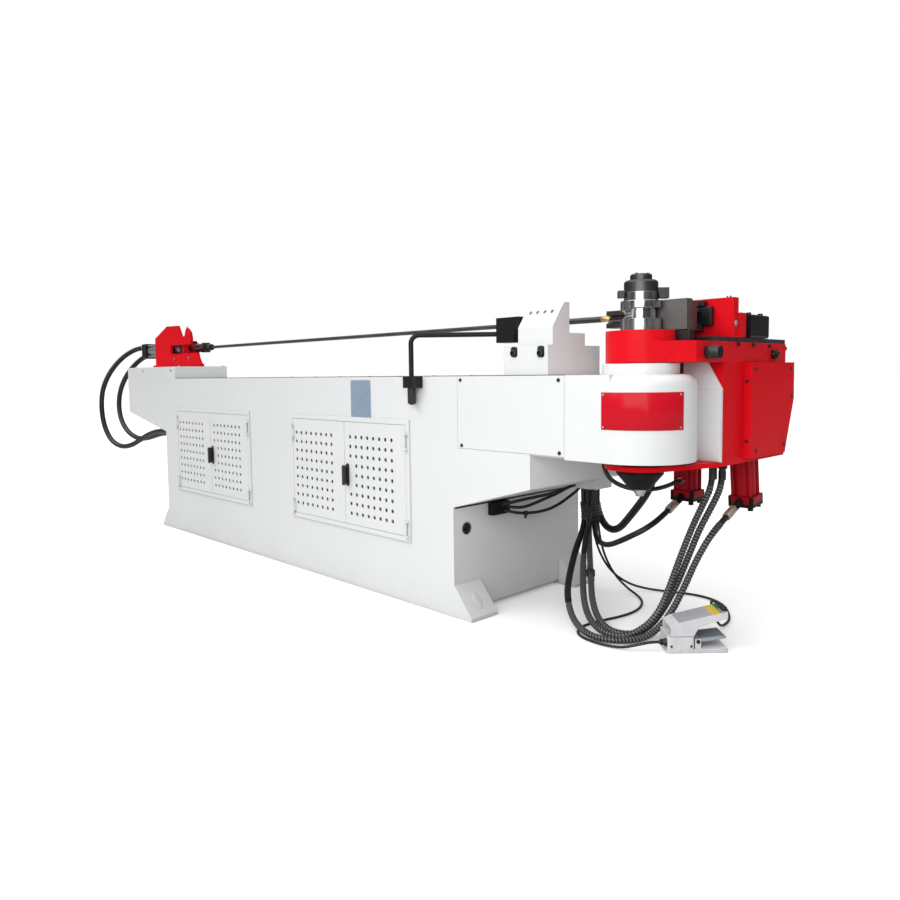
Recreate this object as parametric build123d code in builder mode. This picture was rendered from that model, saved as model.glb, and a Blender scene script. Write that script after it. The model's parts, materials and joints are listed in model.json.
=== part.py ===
from build123d import *
import math
import os

os.makedirs("parts", exist_ok=True)

# ---------------------------------------------------------------------------
# Hydraulic mandrel pipe bending machine.
# Stations are measured on the machine itself: x along the pipe line from the
# front of the lower body (+x towards the bending head), y from the near side
# plate into the machine, z up from the floor.  FRAME_X and FRAME_Y carry the
# stations into the part's own frame.
# ---------------------------------------------------------------------------
FRAME_X = 1251.194
FRAME_Y = -441.0

BED_TOP = 960.0          # height of the bed deck
BED_W = 820.0            # width of the bed
BODY_REAR = -2645.0      # rear end of the lower body
BED_REAR = -3233.0       # rear end of the overhanging bed
SHEET = 8.0              # wall thickness of the welded bed
SKIRT = 12.0             # gap under the skirt, taken up by the feet
HAUNCH_Z0 = 443.0        # haunch underside at the front of the lower body
HAUNCH_X1 = 393.0        # front of the haunch
HAUNCH_Z1 = 554.0
HEAD_BOTTOM = 676.0      # underside of the upper bed
HEAD_X0 = 545.0          # rear face of the head casting

SPX, SPY = 724.6, 184.0  # bending spindle axis
NOSE_R = 184.0           # round nose of the head
NOSE_RIM = 34.0
HUB_R = 116.0            # round end of the swing arm
SHAFT_R = 60.0
POST_R = 36.0            # die post above the arm
DIE_R = 67.0             # centre-line radius of the bend die
TUBE_Z = 1159.0          # pipe centre line above the floor
TUBE_Y = SPY + DIE_R     # pipe centre line across the machine
GROOVE_R = 14.2          # die groove for a 28 mm pipe

ARM_X0, ARM_X1 = 705.0, 915.0
ARM_Y1 = 905.0
ARM_Z0, ARM_Z1 = 998.0, 1068.0
HUB_TOP = 1105.0
KNEE_X0 = 772.0
KNEE_Y0 = 393.0
KNEE_Z0 = 657.0

DOOR_Z0, DOOR_H = 265.0, 516.0
DOOR_W = 906.0
DOOR_BAND = 22.0
DOOR_CENTRES = {"rear": -2020.0, "front": -706.0}
LEAF_T = 5.0
PIVOT_Y = -14.0          # hinge line in front of the side plate
KNUCKLE_Z = (320.0, 690.0)

HOSE_D = 22.0
CABLE_D = 10.0
TRUNK_D = 30.0


def xy(z):
    return Plane(origin=(FRAME_X, FRAME_Y, z))


def xz(y):
    # sketch x = station x, sketch y = height; a negative extrusion goes into +y
    return Plane(origin=(FRAME_X, y + FRAME_Y, 0), x_dir=(1, 0, 0), z_dir=(0, -1, 0))


def yz(x):
    # sketch x = station y, sketch y = height; extrusion goes along +x
    return Plane(origin=(x + FRAME_X, FRAME_Y, 0), x_dir=(0, 1, 0), z_dir=(1, 0, 0))


def p3(x, y, z):
    return (x + FRAME_X, y + FRAME_Y, z)


def save(builder, name):
    builder.part.label = name
    export_step(builder.part, "parts/" + name + ".step")


# ---------------------------------------------------------------------------
# Bed weldment
# ---------------------------------------------------------------------------
with BuildPart() as near_side_plate:
    with BuildSketch(xz(0)):
        with BuildLine():
            Polyline(
                (BED_REAR, BED_TOP), (BED_REAR, 732), (BODY_REAR, 622), (BODY_REAR, SKIRT),
                (0, SKIRT), (0, HAUNCH_Z0), (HAUNCH_X1, HAUNCH_Z1), (HAUNCH_X1, 681),
                (29, 681), (29, BED_TOP), close=True,
            )
        make_face()
        for cx in DOOR_CENTRES.values():
            with Locations((cx, DOOR_Z0 + DOOR_H / 2)):
                Rectangle(DOOR_W - 2 * DOOR_BAND - 28, DOOR_H - 2 * DOOR_BAND - 28, mode=Mode.SUBTRACT)
    extrude(amount=-SHEET)
save(near_side_plate, "near_side_plate")

with BuildPart() as far_side_plate:
    with BuildSketch(xz(BED_W - SHEET)):
        with BuildLine():
            Polyline(
                (BED_REAR, BED_TOP), (BED_REAR, 732), (BODY_REAR, 622), (BODY_REAR, SKIRT),
                (0, SKIRT), (0, HAUNCH_Z0), (HAUNCH_X1, HAUNCH_Z1), (HAUNCH_X1, HEAD_BOTTOM),
                (HEAD_X0 - 1, HEAD_BOTTOM), (HEAD_X0 - 1, BED_TOP), close=True,
            )
        make_face()
    extrude(amount=-SHEET)
save(far_side_plate, "far_side_plate")

with BuildPart() as bed_top_plate:
    with BuildSketch(xy(BED_TOP - 20)):
        with Locations(((BED_REAR + HEAD_X0 - 1) / 2, BED_W / 2)):
            Rectangle(HEAD_X0 - 1 - BED_REAR, BED_W - 2 * SHEET)
    extrude(amount=20)
save(bed_top_plate, "bed_top_plate")

with BuildPart() as rear_apron:
    with BuildSketch(xz(SHEET)):
        with BuildLine():
            Polyline(
                (BED_REAR, BED_TOP - 20), (BED_REAR, 732), (BODY_REAR, 622), (BODY_REAR, 20),
                (BODY_REAR + SHEET, 20), (BODY_REAR + SHEET, 628.7), (BED_REAR + SHEET, 738.6),
                (BED_REAR + SHEET, BED_TOP - 20), close=True,
            )
        make_face()
    extrude(amount=-(BED_W - 2 * SHEET))
save(rear_apron, "rear_apron")

with BuildPart() as front_end_panel:
    with BuildSketch(yz(-6)):
        with Locations((BED_W / 2, (20 + 436) / 2)):
            Rectangle(BED_W - 2 * SHEET, 436 - 20)
        with Locations((72, 350)):
            Circle(20, mode=Mode.SUBTRACT)
    extrude(amount=6)
save(front_end_panel, "front_end_panel")

with BuildPart() as haunch_plate:
    with BuildSketch(xz(SHEET)):
        with BuildLine():
            Polyline(
                (0, HAUNCH_Z0), (HAUNCH_X1, HAUNCH_Z1), (HAUNCH_X1, HEAD_BOTTOM),
                (HEAD_X0 - 1, HEAD_BOTTOM), (HEAD_X0 - 1, HEAD_BOTTOM + SHEET),
                (HAUNCH_X1 - SHEET, HEAD_BOTTOM + SHEET), (HAUNCH_X1 - SHEET, 560.05),
                (0, HAUNCH_Z0 + 8.31), close=True,
            )
        make_face()
    extrude(amount=-(BED_W - 2 * SHEET))
save(haunch_plate, "haunch_plate")

# floor tray on four wedge feet with anchor bolt holes
FOOT_W = 150.0
FOOT_TOE = 95.0
FOOT_BOLT_X = 52.0       # bolt ahead of the body's end
FOOT_BOLT_R = 11.0
with BuildPart() as base_frame:
    with BuildSketch(xy(SKIRT)):
        with Locations(((BODY_REAR - 6) / 2, BED_W / 2)):
            Rectangle(-6 - BODY_REAR, BED_W - 2 * SHEET)
    extrude(amount=8)
    for y0 in (0.0, BED_W - FOOT_W):
        with BuildSketch(xz(y0)):
            with BuildLine():
                Polyline((-150, 0), (FOOT_TOE, 0), (FOOT_TOE, 14), (0.0, 131), (0.0, SKIRT), (-150, SKIRT), close=True)
            make_face()
            with BuildLine():
                Polyline(
                    (BODY_REAR + 150, 0), (BODY_REAR - FOOT_TOE, 0), (BODY_REAR - FOOT_TOE, 14),
                    (BODY_REAR, 131), (BODY_REAR, SKIRT), (BODY_REAR + 150, SKIRT), close=True,
                )
            make_face()
        extrude(amount=-FOOT_W)
    bolt_y = (FOOT_W / 2, BED_W - FOOT_W / 2)
    bolt_x = (FOOT_BOLT_X, BODY_REAR - FOOT_BOLT_X)
    with BuildSketch(xy(0)):
        with Locations(*[(x, y) for x in bolt_x for y in bolt_y]):
            Circle(FOOT_BOLT_R)
    extrude(amount=140, mode=Mode.SUBTRACT)
    with BuildSketch(xy(24)):
        with Locations(*[(x, y) for x in bolt_x for y in bolt_y]):
            Circle(24)
    extrude(amount=140, mode=Mode.SUBTRACT)
save(base_frame, "base_frame")

with BuildPart() as rear_pedestal:
    with BuildSketch(xy(BED_TOP)):
        with Locations(((BED_REAR - 2480) / 2, 175)):
            Rectangle(-2480 - BED_REAR, 350)
    extrude(amount=75)
    with BuildSketch(xy(BED_TOP)):
        with Locations(((BED_REAR - 2480) / 2, 175)):
            Rectangle(-2480 - BED_REAR - 16, 350 - 16)
    extrude(amount=67, mode=Mode.SUBTRACT)
save(rear_pedestal, "rear_pedestal")

# ---------------------------------------------------------------------------
# Doors: raised frames with hinge lugs, pins, perforated leaves, pull handles
# ---------------------------------------------------------------------------
LEAF_GAP = 1.5
INNER_W = DOOR_W - 2 * DOOR_BAND
LEAF_W = INNER_W / 2 - LEAF_GAP - 1.0
LEAF_Z0 = DOOR_Z0 + DOOR_BAND + LEAF_GAP
LEAF_H = DOOR_H - 2 * DOOR_BAND - 2 * LEAF_GAP

with BuildPart() as door_frames:
    for cx in DOOR_CENTRES.values():
        with BuildSketch(xz(0)):
            with Locations((cx, DOOR_Z0 + DOOR_H / 2)):
                Rectangle(DOOR_W, DOOR_H)
                Rectangle(INNER_W, DOOR_H - 2 * DOOR_BAND, mode=Mode.SUBTRACT)
        extrude(amount=7)
        for side in (-1, 1):
            px = cx + side * INNER_W / 2
            for kz in KNUCKLE_Z:
                for dz in (-37.5, 25.5):
                    with BuildSketch(xy(kz + dz)):
                        with Locations((px, PIVOT_Y)):
                            Circle(7.0)
                        with Locations((px + side * 7, -13)):
                            Rectangle(14, 14)
                        with Locations((px, PIVOT_Y)):
                            Circle(4.0, mode=Mode.SUBTRACT)
                    extrude(amount=12)
save(door_frames, "door_frames")

with BuildPart() as door_hinge_pins:
    for kz in KNUCKLE_Z:
        with BuildSketch(xy(kz - 37.5)):
            with Locations(*[(cx + s * INNER_W / 2, PIVOT_Y) for cx in DOOR_CENTRES.values() for s in (-1, 1)]):
                Circle(4.0)
        extrude(amount=75)
save(door_hinge_pins, "door_hinge_pins")

HOLE_PX, HOLE_PZ, HOLE_R = 42.0, 43.8, 8.5
leaf_specs = {
    "door_leaf_rear_left": (DOOR_CENTRES["rear"], -1),
    "door_leaf_rear_right": (DOOR_CENTRES["rear"], 1),
    "door_leaf_front_left": (DOOR_CENTRES["front"], -1),
    "door_leaf_front_right": (DOOR_CENTRES["front"], 1),
}
for leaf_name, (cx, side) in leaf_specs.items():
    px = cx + side * INNER_W / 2                    # hinge line
    x_out = px - side * LEAF_GAP                    # hinged edge
    x_mid = x_out - side * LEAF_W / 2
    x_first = cx - 397.0 if side < 0 else cx + 44.0
    holes = []
    for i in range(8):
        for j in range(9):
            if side > 0 and i == 0 and 3 <= j <= 5:
                continue
            holes.append((x_first + i * HOLE_PX, 339.0 + j * HOLE_PZ))
    with BuildPart() as leaf:
        with BuildSketch(xz(-1.5)):
            with Locations((x_mid, LEAF_Z0 + LEAF_H / 2)):
                Rectangle(LEAF_W, LEAF_H)
            with Locations(*holes):
                Circle(HOLE_R, mode=Mode.SUBTRACT)
        extrude(amount=LEAF_T)
        with BuildSketch(xz(-6.0)):
            with Locations(*[(px - side * 7.0, kz) for kz in KNUCKLE_Z]):
                Rectangle(11.0, 50)
        extrude(amount=8)
        for kz in KNUCKLE_Z:
            with BuildSketch(xy(kz - 25)):
                with Locations((px, PIVOT_Y)):
                    Circle(6.2)
            extrude(amount=50)
        for kz in KNUCKLE_Z:
            with BuildSketch(xy(kz - 25)):
                with Locations((px, PIVOT_Y)):
                    Circle(4.06)
            extrude(amount=50, mode=Mode.SUBTRACT)
    save(leaf, leaf_name)

for nm, cx in DOOR_CENTRES.items():
    with BuildPart() as handle:
        with BuildSketch(xz(-6.5)):
            with Locations((cx + 24, 515)):
                SlotOverall(104, 20, rotation=90)
        extrude(amount=5)
        with BuildSketch(xz(-11.5)):
            with Locations((cx + 24, 478), (cx + 24, 552)):
                Circle(7)
        extrude(amount=16)
        with BuildSketch(xz(-27.5)):
            with Locations((cx + 24, 515)):
                SlotOverall(92, 15, rotation=90)
        extrude(amount=9)
    save(handle, "door_handle_" + nm)

# ---------------------------------------------------------------------------
# Head: casting with round nose and bearing boss, side cover, bearings, drive
# ---------------------------------------------------------------------------
with BuildPart() as head_casting:
    with BuildSketch(xy(672)):
        with Locations(((HEAD_X0 + SPX) / 2, SPY)):
            Rectangle(SPX - HEAD_X0, 2 * NOSE_R)
    extrude(amount=BED_TOP - 672)
    # round nose with a soft top rim, turned from the near side round to the far side
    with BuildSketch(Plane(origin=p3(SPX, SPY, 0), x_dir=(0, -1, 0), z_dir=(-1, 0, 0))):
        with BuildLine():
            Line((0, 672), (NOSE_R, 672))
            Line((NOSE_R, 672), (NOSE_R, BED_TOP - NOSE_RIM))
            RadiusArc((NOSE_R, BED_TOP - NOSE_RIM), (NOSE_R - NOSE_RIM, BED_TOP), -NOSE_RIM)
            Line((NOSE_R - NOSE_RIM, BED_TOP), (0, BED_TOP))
            Line((0, BED_TOP), (0, 672))
        make_face()
    revolve(axis=Axis(p3(SPX, SPY, 0), (0, 0, 1)), revolution_arc=180)
    with BuildSketch(xy(722)):
        with Locations(((HEAD_X0 + SPX) / 2, SPY)):
            Rectangle(SPX - HEAD_X0, 2 * NOSE_R - 40)
        with Locations((SPX, SPY)):
            Circle(NOSE_R - 20)
    extrude(amount=190, mode=Mode.SUBTRACT)
    with BuildSketch(xy(BED_TOP - 1)):
        with Locations((SPX, SPY)):
            Circle(128)
    extrude(amount=37)
    with BuildSketch(xy(600)):
        with Locations((SPX, SPY)):
            Circle(SHAFT_R + 0.06)
    extrude(amount=500, mode=Mode.SUBTRACT)
save(head_casting, "head_casting")

with BuildPart() as head_side_cover:
    with BuildSketch(xz(0)):
        with Locations(((30 + HEAD_X0 - 1) / 2, (682 + BED_TOP) / 2)):
            Rectangle(HEAD_X0 - 1 - 30, BED_TOP - 682)
    extrude(amount=-SHEET)
save(head_side_cover, "head_side_cover")

# bed block that carries the pressure die slide, beside the head
PB_X0, PB_X1 = HEAD_X0, 690.0
PC_X, PC_Y = 622.0, 700.0        # pressure cylinder axis
with BuildPart() as pressure_bed:
    with BuildSketch(xy(HEAD_BOTTOM)):
        with Locations(((PB_X0 + PB_X1) / 2, (372 + BED_W) / 2)):
            Rectangle(PB_X1 - PB_X0, BED_W - 372)
    extrude(amount=BED_TOP - HEAD_BOTTOM)
    with BuildSketch(xy(HEAD_BOTTOM + 12)):
        with Locations(((PB_X0 + PB_X1 - 12) / 2, (372 + BED_W) / 2)):
            Rectangle(PB_X1 - 12 - PB_X0, BED_W - 372 - 24)
    extrude(amount=BED_TOP - HEAD_BOTTOM - 36, mode=Mode.SUBTRACT)
    with BuildSketch(xy(HEAD_BOTTOM)):
        with Locations((PC_X, PC_Y)):
            Circle(30)
    extrude(amount=14, mode=Mode.SUBTRACT)
save(pressure_bed, "pressure_bed")

# stepped block on the deck that holds the wiper tooling
with BuildPart() as wiper_block:
    with BuildSketch(xy(BED_TOP)):
        with Locations(((255 + 459) / 2, (20 + 329) / 2)):
            Rectangle(204, 309)
    extrude(amount=107)
    with BuildSketch(yz(300)):
        with BuildLine():
            Polyline(
                (48, 1060), (48, 1132), (93, 1194), (114, 1219), (143, 1219), (143, 1111),
                (236, 1111), (236, 1060), close=True,
            )
        make_face()
    extrude(amount=159)
    with BuildSketch(xz(30)):
        with Locations((326, 1186), (358, 1186), (392, 1186), (424, 1186)):
            Circle(7)
    extrude(amount=-100, mode=Mode.SUBTRACT)
save(wiper_block, "wiper_block")

# ---------------------------------------------------------------------------
# Swing arm with spindle and dies
# ---------------------------------------------------------------------------
with BuildPart() as arm_casting:
    with BuildSketch(xy(ARM_Z0)):
        with Locations((SPX, SPY)):
            Circle(HUB_R)
    extrude(amount=HUB_TOP - ARM_Z0)
    with BuildSketch(xy(ARM_Z0)):
        with Locations(((ARM_X0 + ARM_X1) / 2, (207 + ARM_Y1) / 2)):
            Rectangle(ARM_X1 - ARM_X0, ARM_Y1 - 207)
    extrude(amount=ARM_Z1 - ARM_Z0)
    # the hub's rim runs on tangent into the slab
    with BuildSketch(xy(ARM_Z0)):
        with Locations((SPX, SPY)):
            Circle(HUB_R)
        with Locations(((800 + ARM_X1) / 2, 263.5)):
            Rectangle(ARM_X1 - 800, 113)
        make_hull()
    extrude(amount=ARM_Z1 - ARM_Z0)
    with BuildSketch(xy(ARM_Z0)):
        with Locations((SPX, SPY)):
            Circle(SHAFT_R + 0.05)
    extrude(amount=HUB_TOP - ARM_Z0, mode=Mode.SUBTRACT)
    # stop screw on the slab's free side
    with BuildSketch(yz(ARM_X1 - 2)):
        with Locations((276, 1030)):
            Circle(20)
    extrude(amount=50)
save(arm_casting, "arm_casting")

CC_X, CC_Y, CC_Z = 843.0, 719.0, 630.0        # point on the clamp cylinder's axis
CC_UP = Vector(0, -0.12, 1.0).normalized()     # the cylinder leans
with BuildPart() as arm_yoke:
    # hollow knee under the slab
    with BuildSketch(xy(KNEE_Z0)):
        with Locations(((KNEE_X0 + ARM_X1) / 2, (KNEE_Y0 + ARM_Y1) / 2)):
            Rectangle(ARM_X1 - KNEE_X0, ARM_Y1 - KNEE_Y0)
    extrude(amount=ARM_Z0 - KNEE_Z0)
    with BuildSketch(xy(KNEE_Z0 + 12)):
        with Locations(((KNEE_X0 + ARM_X1) / 2, (KNEE_Y0 + ARM_Y1) / 2)):
            Rectangle(ARM_X1 - KNEE_X0 - 24, ARM_Y1 - KNEE_Y0 - 24)
    extrude(amount=ARM_Z0 - KNEE_Z0 - 12, mode=Mode.SUBTRACT)
    # plate that returns under the nose to the spindle
    with BuildSketch(xy(641)):
        with Locations((SPX, SPY)):
            Circle(118)
        with Locations(((KNEE_X0 + ARM_X1) / 2, (KNEE_Y0 + 520) / 2)):
            Rectangle(ARM_X1 - KNEE_X0, 520 - KNEE_Y0)
        make_hull()
        with Locations(((KNEE_X0 + ARM_X1) / 2, (KNEE_Y0 + ARM_Y1) / 2)):
            Rectangle(ARM_X1 - KNEE_X0, ARM_Y1 - KNEE_Y0)
    extrude(amount=16)
    with BuildSketch(xy(600)):
        with Locations((SPX, SPY)):
            Circle(SHAFT_R + 0.05)
    extrude(amount=80, mode=Mode.SUBTRACT)
    with BuildSketch(xy(630)):
        with Locations((CC_X, CC_Y - 3)):
            Rectangle(90, 94)
    extrude(amount=60, mode=Mode.SUBTRACT)
save(arm_yoke, "arm_yoke")

with BuildPart() as knee_wear_plate:
    with BuildSketch(xz(385)):
        with BuildLine():
            Polyline((KNEE_X0, KNEE_Z0), (ARM_X1, KNEE_Z0), (ARM_X1, 909), (864, ARM_Z0), (KNEE_X0, ARM_Z0), close=True)
        make_face()
    extrude(amount=-8)
save(knee_wear_plate, "knee_wear_plate")

with BuildPart() as arm_side_cover:
    with BuildSketch(yz(ARM_X1)):
        with BuildLine():
            Polyline((551, 998), (925, 998), (928, 861), (851, 657), (551, 657), close=True)
        make_face()
    extrude(amount=26)
    with BuildSketch(yz(ARM_X1)):
        with BuildLine():
            Polyline((555, 994), (921, 994), (924, 862), (848.2, 661), (555, 661), close=True)
        make_face()
    extrude(amount=22, mode=Mode.SUBTRACT)
save(arm_side_cover, "arm_side_cover")

with BuildPart() as spindle_shaft:
    with BuildSketch(xz(SPY)):
        with BuildLine():
            Polyline(
                (SPX, 641.2), (SPX + SHAFT_R, 641.2), (SPX + SHAFT_R, HUB_TOP + 0.2),
                (SPX + POST_R, HUB_TOP + 0.2), (SPX + POST_R, 1290), (SPX + POST_R - 4, 1294), (SPX, 1294), close=True,
            )
        make_face()
    revolve(axis=Axis(p3(SPX, SPY, 0), (0, 0, 1)))
save(spindle_shaft, "spindle_shaft")

with BuildPart() as bend_die:
    with BuildSketch(xz(SPY)):
        with BuildLine():
            Polyline(
                (SPX + 36.06, 1105.6), (SPX + DIE_R, 1105.6), (SPX + DIE_R, 1144), (SPX + 49, 1146),
                (SPX + 49, 1189), (SPX + 56, 1190), (SPX + 56, 1233), (SPX + 36.06, 1233), close=True,
            )
        make_face()
    revolve(axis=Axis(p3(SPX, SPY, 0), (0, 0, 1)))
    # grooved half that bends the pipe, on the rear side of the spindle
    with BuildSketch(Plane(origin=p3(SPX, SPY, 0), x_dir=(0, 1, 0), z_dir=(1, 0, 0))):
        with BuildLine():
            Polyline((47, 1143), (DIE_R, 1143), (DIE_R, 1203), (58, 1205), (54, 1205), (47, 1188), close=True)
        make_face()
        with Locations((DIE_R, TUBE_Z)):
            Circle(GROOVE_R, mode=Mode.SUBTRACT)
    revolve(axis=Axis(p3(SPX, SPY, 0), (0, 0, 1)), revolution_arc=180)
save(bend_die, "bend_die")

# straight grip insert in line with the pipe, let into the die's side
with BuildPart() as die_grip:
    with BuildSketch(yz(752)):
        with Locations(((213 + TUBE_Y) / 2, (1106 + 1206) / 2)):
            Rectangle(TUBE_Y - 213, 100)
        with Locations((TUBE_Y, TUBE_Z)):
            Circle(GROOVE_R, mode=Mode.SUBTRACT)
    extrude(amount=124)
    for z0, z1, r_cut in ((1100, 1146.2, DIE_R + 0.1), (1140, 1190, 49.1), (1188.8, 1240, 56.1)):
        with BuildSketch(xy(z0)):
            with Locations((SPX, SPY)):
                Circle(r_cut)
        extrude(amount=z1 - z0, mode=Mode.SUBTRACT)
save(die_grip, "die_grip")

with BuildPart() as die_collar:
    with BuildSketch(xy(1233.4)):
        with Locations((SPX, SPY)):
            Circle(56)
    extrude(amount=39)
    chamfer(die_collar.edges().group_by(Axis.Z)[-1], length=6)
    for ang, r_out, z0, z1, w in ((43, 90, 1213, 1248, 34), (223, 76, 1216, 1240, 30), (133, 74, 1216, 1240, 30)):
        pl = Plane(origin=p3(SPX, SPY, z0), x_dir=(math.cos(math.radians(ang)), math.sin(math.radians(ang)), 0), z_dir=(0, 0, 1))
        with BuildSketch(pl):
            with Locations(((57 + r_out) / 2, 0)):
                Rectangle(r_out - 57, w)
        extrude(amount=z1 - z0)
        with BuildSketch(pl.offset(1233.4 - z0)):
            with Locations(((40 + r_out) / 2, 0)):
                Rectangle(r_out - 40, w)
        extrude(amount=z1 - 1233.4)
    with BuildSketch(xy(1200)):
        with Locations((SPX, SPY)):
            Circle(POST_R + 0.06)
    extrude(amount=100, mode=Mode.SUBTRACT)
save(die_collar, "die_collar")

with BuildPart() as spindle_cone:
    with BuildSketch(xz(SPY)):
        with BuildLine():
            Polyline(
                (SPX, 546), (SPX + 12, 546), (SPX + 15, 549), (SPX + 15, 571), (SPX + 36, 571), (SPX + 46, 584),
                (SPX + 78, 622), (SPX + 80, 626), (SPX + 80, 640.8), (SPX, 640.8), close=True,
            )
        make_face()
    revolve(axis=Axis(p3(SPX, SPY, 0), (0, 0, 1)))
save(spindle_cone, "spindle_cone")

with BuildPart() as clamp_rails:
    with BuildSketch(xy(ARM_Z1)):
        with Locations(((707 + ARM_X1) / 2, (317 + 897) / 2)):
            Rectangle(ARM_X1 - 707, 580)
        with Locations(((707 + ARM_X1) / 2, 540)):
            Rectangle(44, 300, mode=Mode.SUBTRACT)
    extrude(amount=16)
save(clamp_rails, "clamp_rails")

PUSH_X, PUSH_Z, PUSH_R = 830.0, 1126.0, 18.0
with BuildPart() as clamp_abutment:
    with BuildSketch(xz(560)):
        with Locations(((738 + 934) / 2, (1084 + 1166) / 2)):
            Rectangle(196, 82)
    extrude(amount=-146)
    fillet(clamp_abutment.edges().filter_by(Axis.Y), radius=8)
    with BuildSketch(xz(560)):
        with Locations((PUSH_X, PUSH_Z)):
            Circle(PUSH_R + 0.08)
    extrude(amount=-130, mode=Mode.SUBTRACT)
    with BuildSketch(xz(706)):
        with Locations((PUSH_X + 62, PUSH_Z + 8)):
            Circle(13)
    extrude(amount=-42)
    with BuildSketch(xz(706)):
        with Locations((PUSH_X + 62, PUSH_Z + 8)):
            RegularPolygon(22, 6)
    extrude(amount=-14)
save(clamp_abutment, "clamp_abutment")

with BuildPart() as clamp_block:
    with BuildSketch(xy(1084.1)):
        with Locations(((707 + 931) / 2, 448.5)):
            Rectangle(224, 37)
    extrude(amount=133.9)
    with BuildSketch(xy(1084.1)):
        with Locations(((707 + 938) / 2, 488.5)):
            Rectangle(231, 43)
    extrude(amount=83)
    # neck behind the clamp die, notched on the free side for the draw bolt
    with BuildSketch(xz(360)):
        with BuildLine():
            Polyline(
                (735, 1107), (826, 1107), (826, 1130), (775, 1130), (775, 1172), (826, 1172), (826, 1182),
                (735, 1182), close=True,
            )
        make_face()
    extrude(amount=-70)
    with BuildSketch(xz(510)):
        with Locations((PUSH_X, PUSH_Z)):
            Circle(PUSH_R)
    extrude(amount=-120)
save(clamp_block, "clamp_block")

with BuildPart() as clamp_die:
    with BuildSketch(yz(722)):
        with Locations((330, (1107 + 1208) / 2)):
            Rectangle(60, 101)
        with Locations((300, TUBE_Z)):
            Circle(GROOVE_R, mode=Mode.SUBTRACT)
    extrude(amount=112)
save(clamp_die, "clamp_die")

# clamp cylinder: barrel with tie rods, end caps with hose fitting, ram
cc_low = Plane(origin=Vector(*p3(CC_X, CC_Y, CC_Z)) - CC_UP * 133, x_dir=(1, 0, 0), z_dir=CC_UP)
with BuildPart() as clamp_cylinder:
    with BuildSketch(cc_low):
        Circle(39)
        Circle(31, mode=Mode.SUBTRACT)
        with GridLocations(66, 66, 2, 2):
            Circle(7)
    extrude(amount=233)
save(clamp_cylinder, "clamp_cylinder")

FIT = Vector(0, -0.93, -0.37).normalized()
with BuildPart() as clamp_cylinder_caps:
    with BuildSketch(cc_low.offset(-40)):
        RectangleRounded(96, 96, 6)
    extrude(amount=40)
    with BuildSketch(cc_low.offset(233)):
        RectangleRounded(94, 94, 6)
        Circle(22.08, mode=Mode.SUBTRACT)
    extrude(amount=30)
    with BuildSketch(cc_low.offset(-52)):
        with GridLocations(66, 66, 2, 2):
            RegularPolygon(11, 6)
    extrude(amount=12)
    # hose fitting on the lower cap and crimp sleeve
    with BuildSketch(Plane(origin=Vector(*p3(CC_X, CC_Y, CC_Z)) - CC_UP * 153 + Vector(0, -42, 0), x_dir=(1, 0, 0), z_dir=FIT)):
        Circle(15)
    extrude(amount=62)
    with BuildSketch(Plane(origin=Vector(*p3(CC_X, CC_Y, CC_Z)) - CC_UP * 153 + Vector(0, -42, 0) + FIT * 62, x_dir=(1, 0, 0), z_dir=FIT)):
        Circle(14)
    extrude(amount=56)
    # gland in the knee floor
    with BuildSketch(xy(618)):
        with Locations((850, 530)):
            Circle(17)
    extrude(amount=23)
save(clamp_cylinder_caps, "clamp_cylinder_caps")

with BuildPart() as clamp_ram:
    with BuildSketch(cc_low.offset(123)):
        Circle(22)
    extrude(amount=200)
save(clamp_ram, "clamp_ram")

# ---------------------------------------------------------------------------
# Pressure die on the far side of the pipe, with its slide, cylinder and ram
# ---------------------------------------------------------------------------
with BuildPart() as pressure_slide:
    with BuildSketch(xy(BED_TOP + 0.1)):
        with Locations(((562 + 686) / 2, (392 + 640) / 2)):
            Rectangle(124, 248)
    extrude(amount=79)
    with BuildSketch(xy(1030)):
        with Locations(((562 + 686) / 2, 395)):
            Rectangle(124, 90)
    extrude(amount=160)
save(pressure_slide, "pressure_slide")

with BuildPart() as pressure_die:
    with BuildSketch(yz(515)):
        with Locations((320, (1128 + 1190) / 2)):
            Rectangle(60, 62)
        with Locations((290, TUBE_Z)):
            Circle(GROOVE_R, mode=Mode.SUBTRACT)
    extrude(amount=185)
save(pressure_die, "pressure_die")

with BuildPart() as pressure_cylinder:
    with BuildSketch(xy(498)):
        with Locations((PC_X, PC_Y)):
            Circle(40)
            Circle(32, mode=Mode.SUBTRACT)
            with GridLocations(68, 68, 2, 2):
                Circle(7)
    extrude(amount=144)
save(pressure_cylinder, "pressure_cylinder")

with BuildPart() as pressure_cylinder_caps:
    with BuildSketch(xy(458)):
        with Locations((PC_X, PC_Y)):
            RectangleRounded(98, 98, 6)
    extrude(amount=40)
    with BuildSketch(xy(642)):
        with Locations((PC_X, PC_Y)):
            RectangleRounded(96, 96, 6)
            Circle(24.08, mode=Mode.SUBTRACT)
    extrude(amount=34)
    with BuildSketch(xy(444)):
        with Locations((PC_X, PC_Y)):
            with GridLocations(68, 68, 2, 2):
                RegularPolygon(11, 6)
    extrude(amount=14)
    with BuildSketch(Plane(origin=p3(PC_X, PC_Y - 42, 476), x_dir=(1, 0, 0), z_dir=FIT)):
        Circle(15)
    extrude(amount=58)
    with BuildSketch(Plane(origin=Vector(*p3(PC_X, PC_Y - 42, 476)) + FIT * 58, x_dir=(1, 0, 0), z_dir=FIT)):
        Circle(14)
    extrude(amount=50)
save(pressure_cylinder_caps, "pressure_cylinder_caps")

with BuildPart() as pressure_ram:
    with BuildSketch(xy(560)):
        with Locations((PC_X, PC_Y)):
            Circle(24)
    extrude(amount=240)
save(pressure_ram, "pressure_ram")

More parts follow.
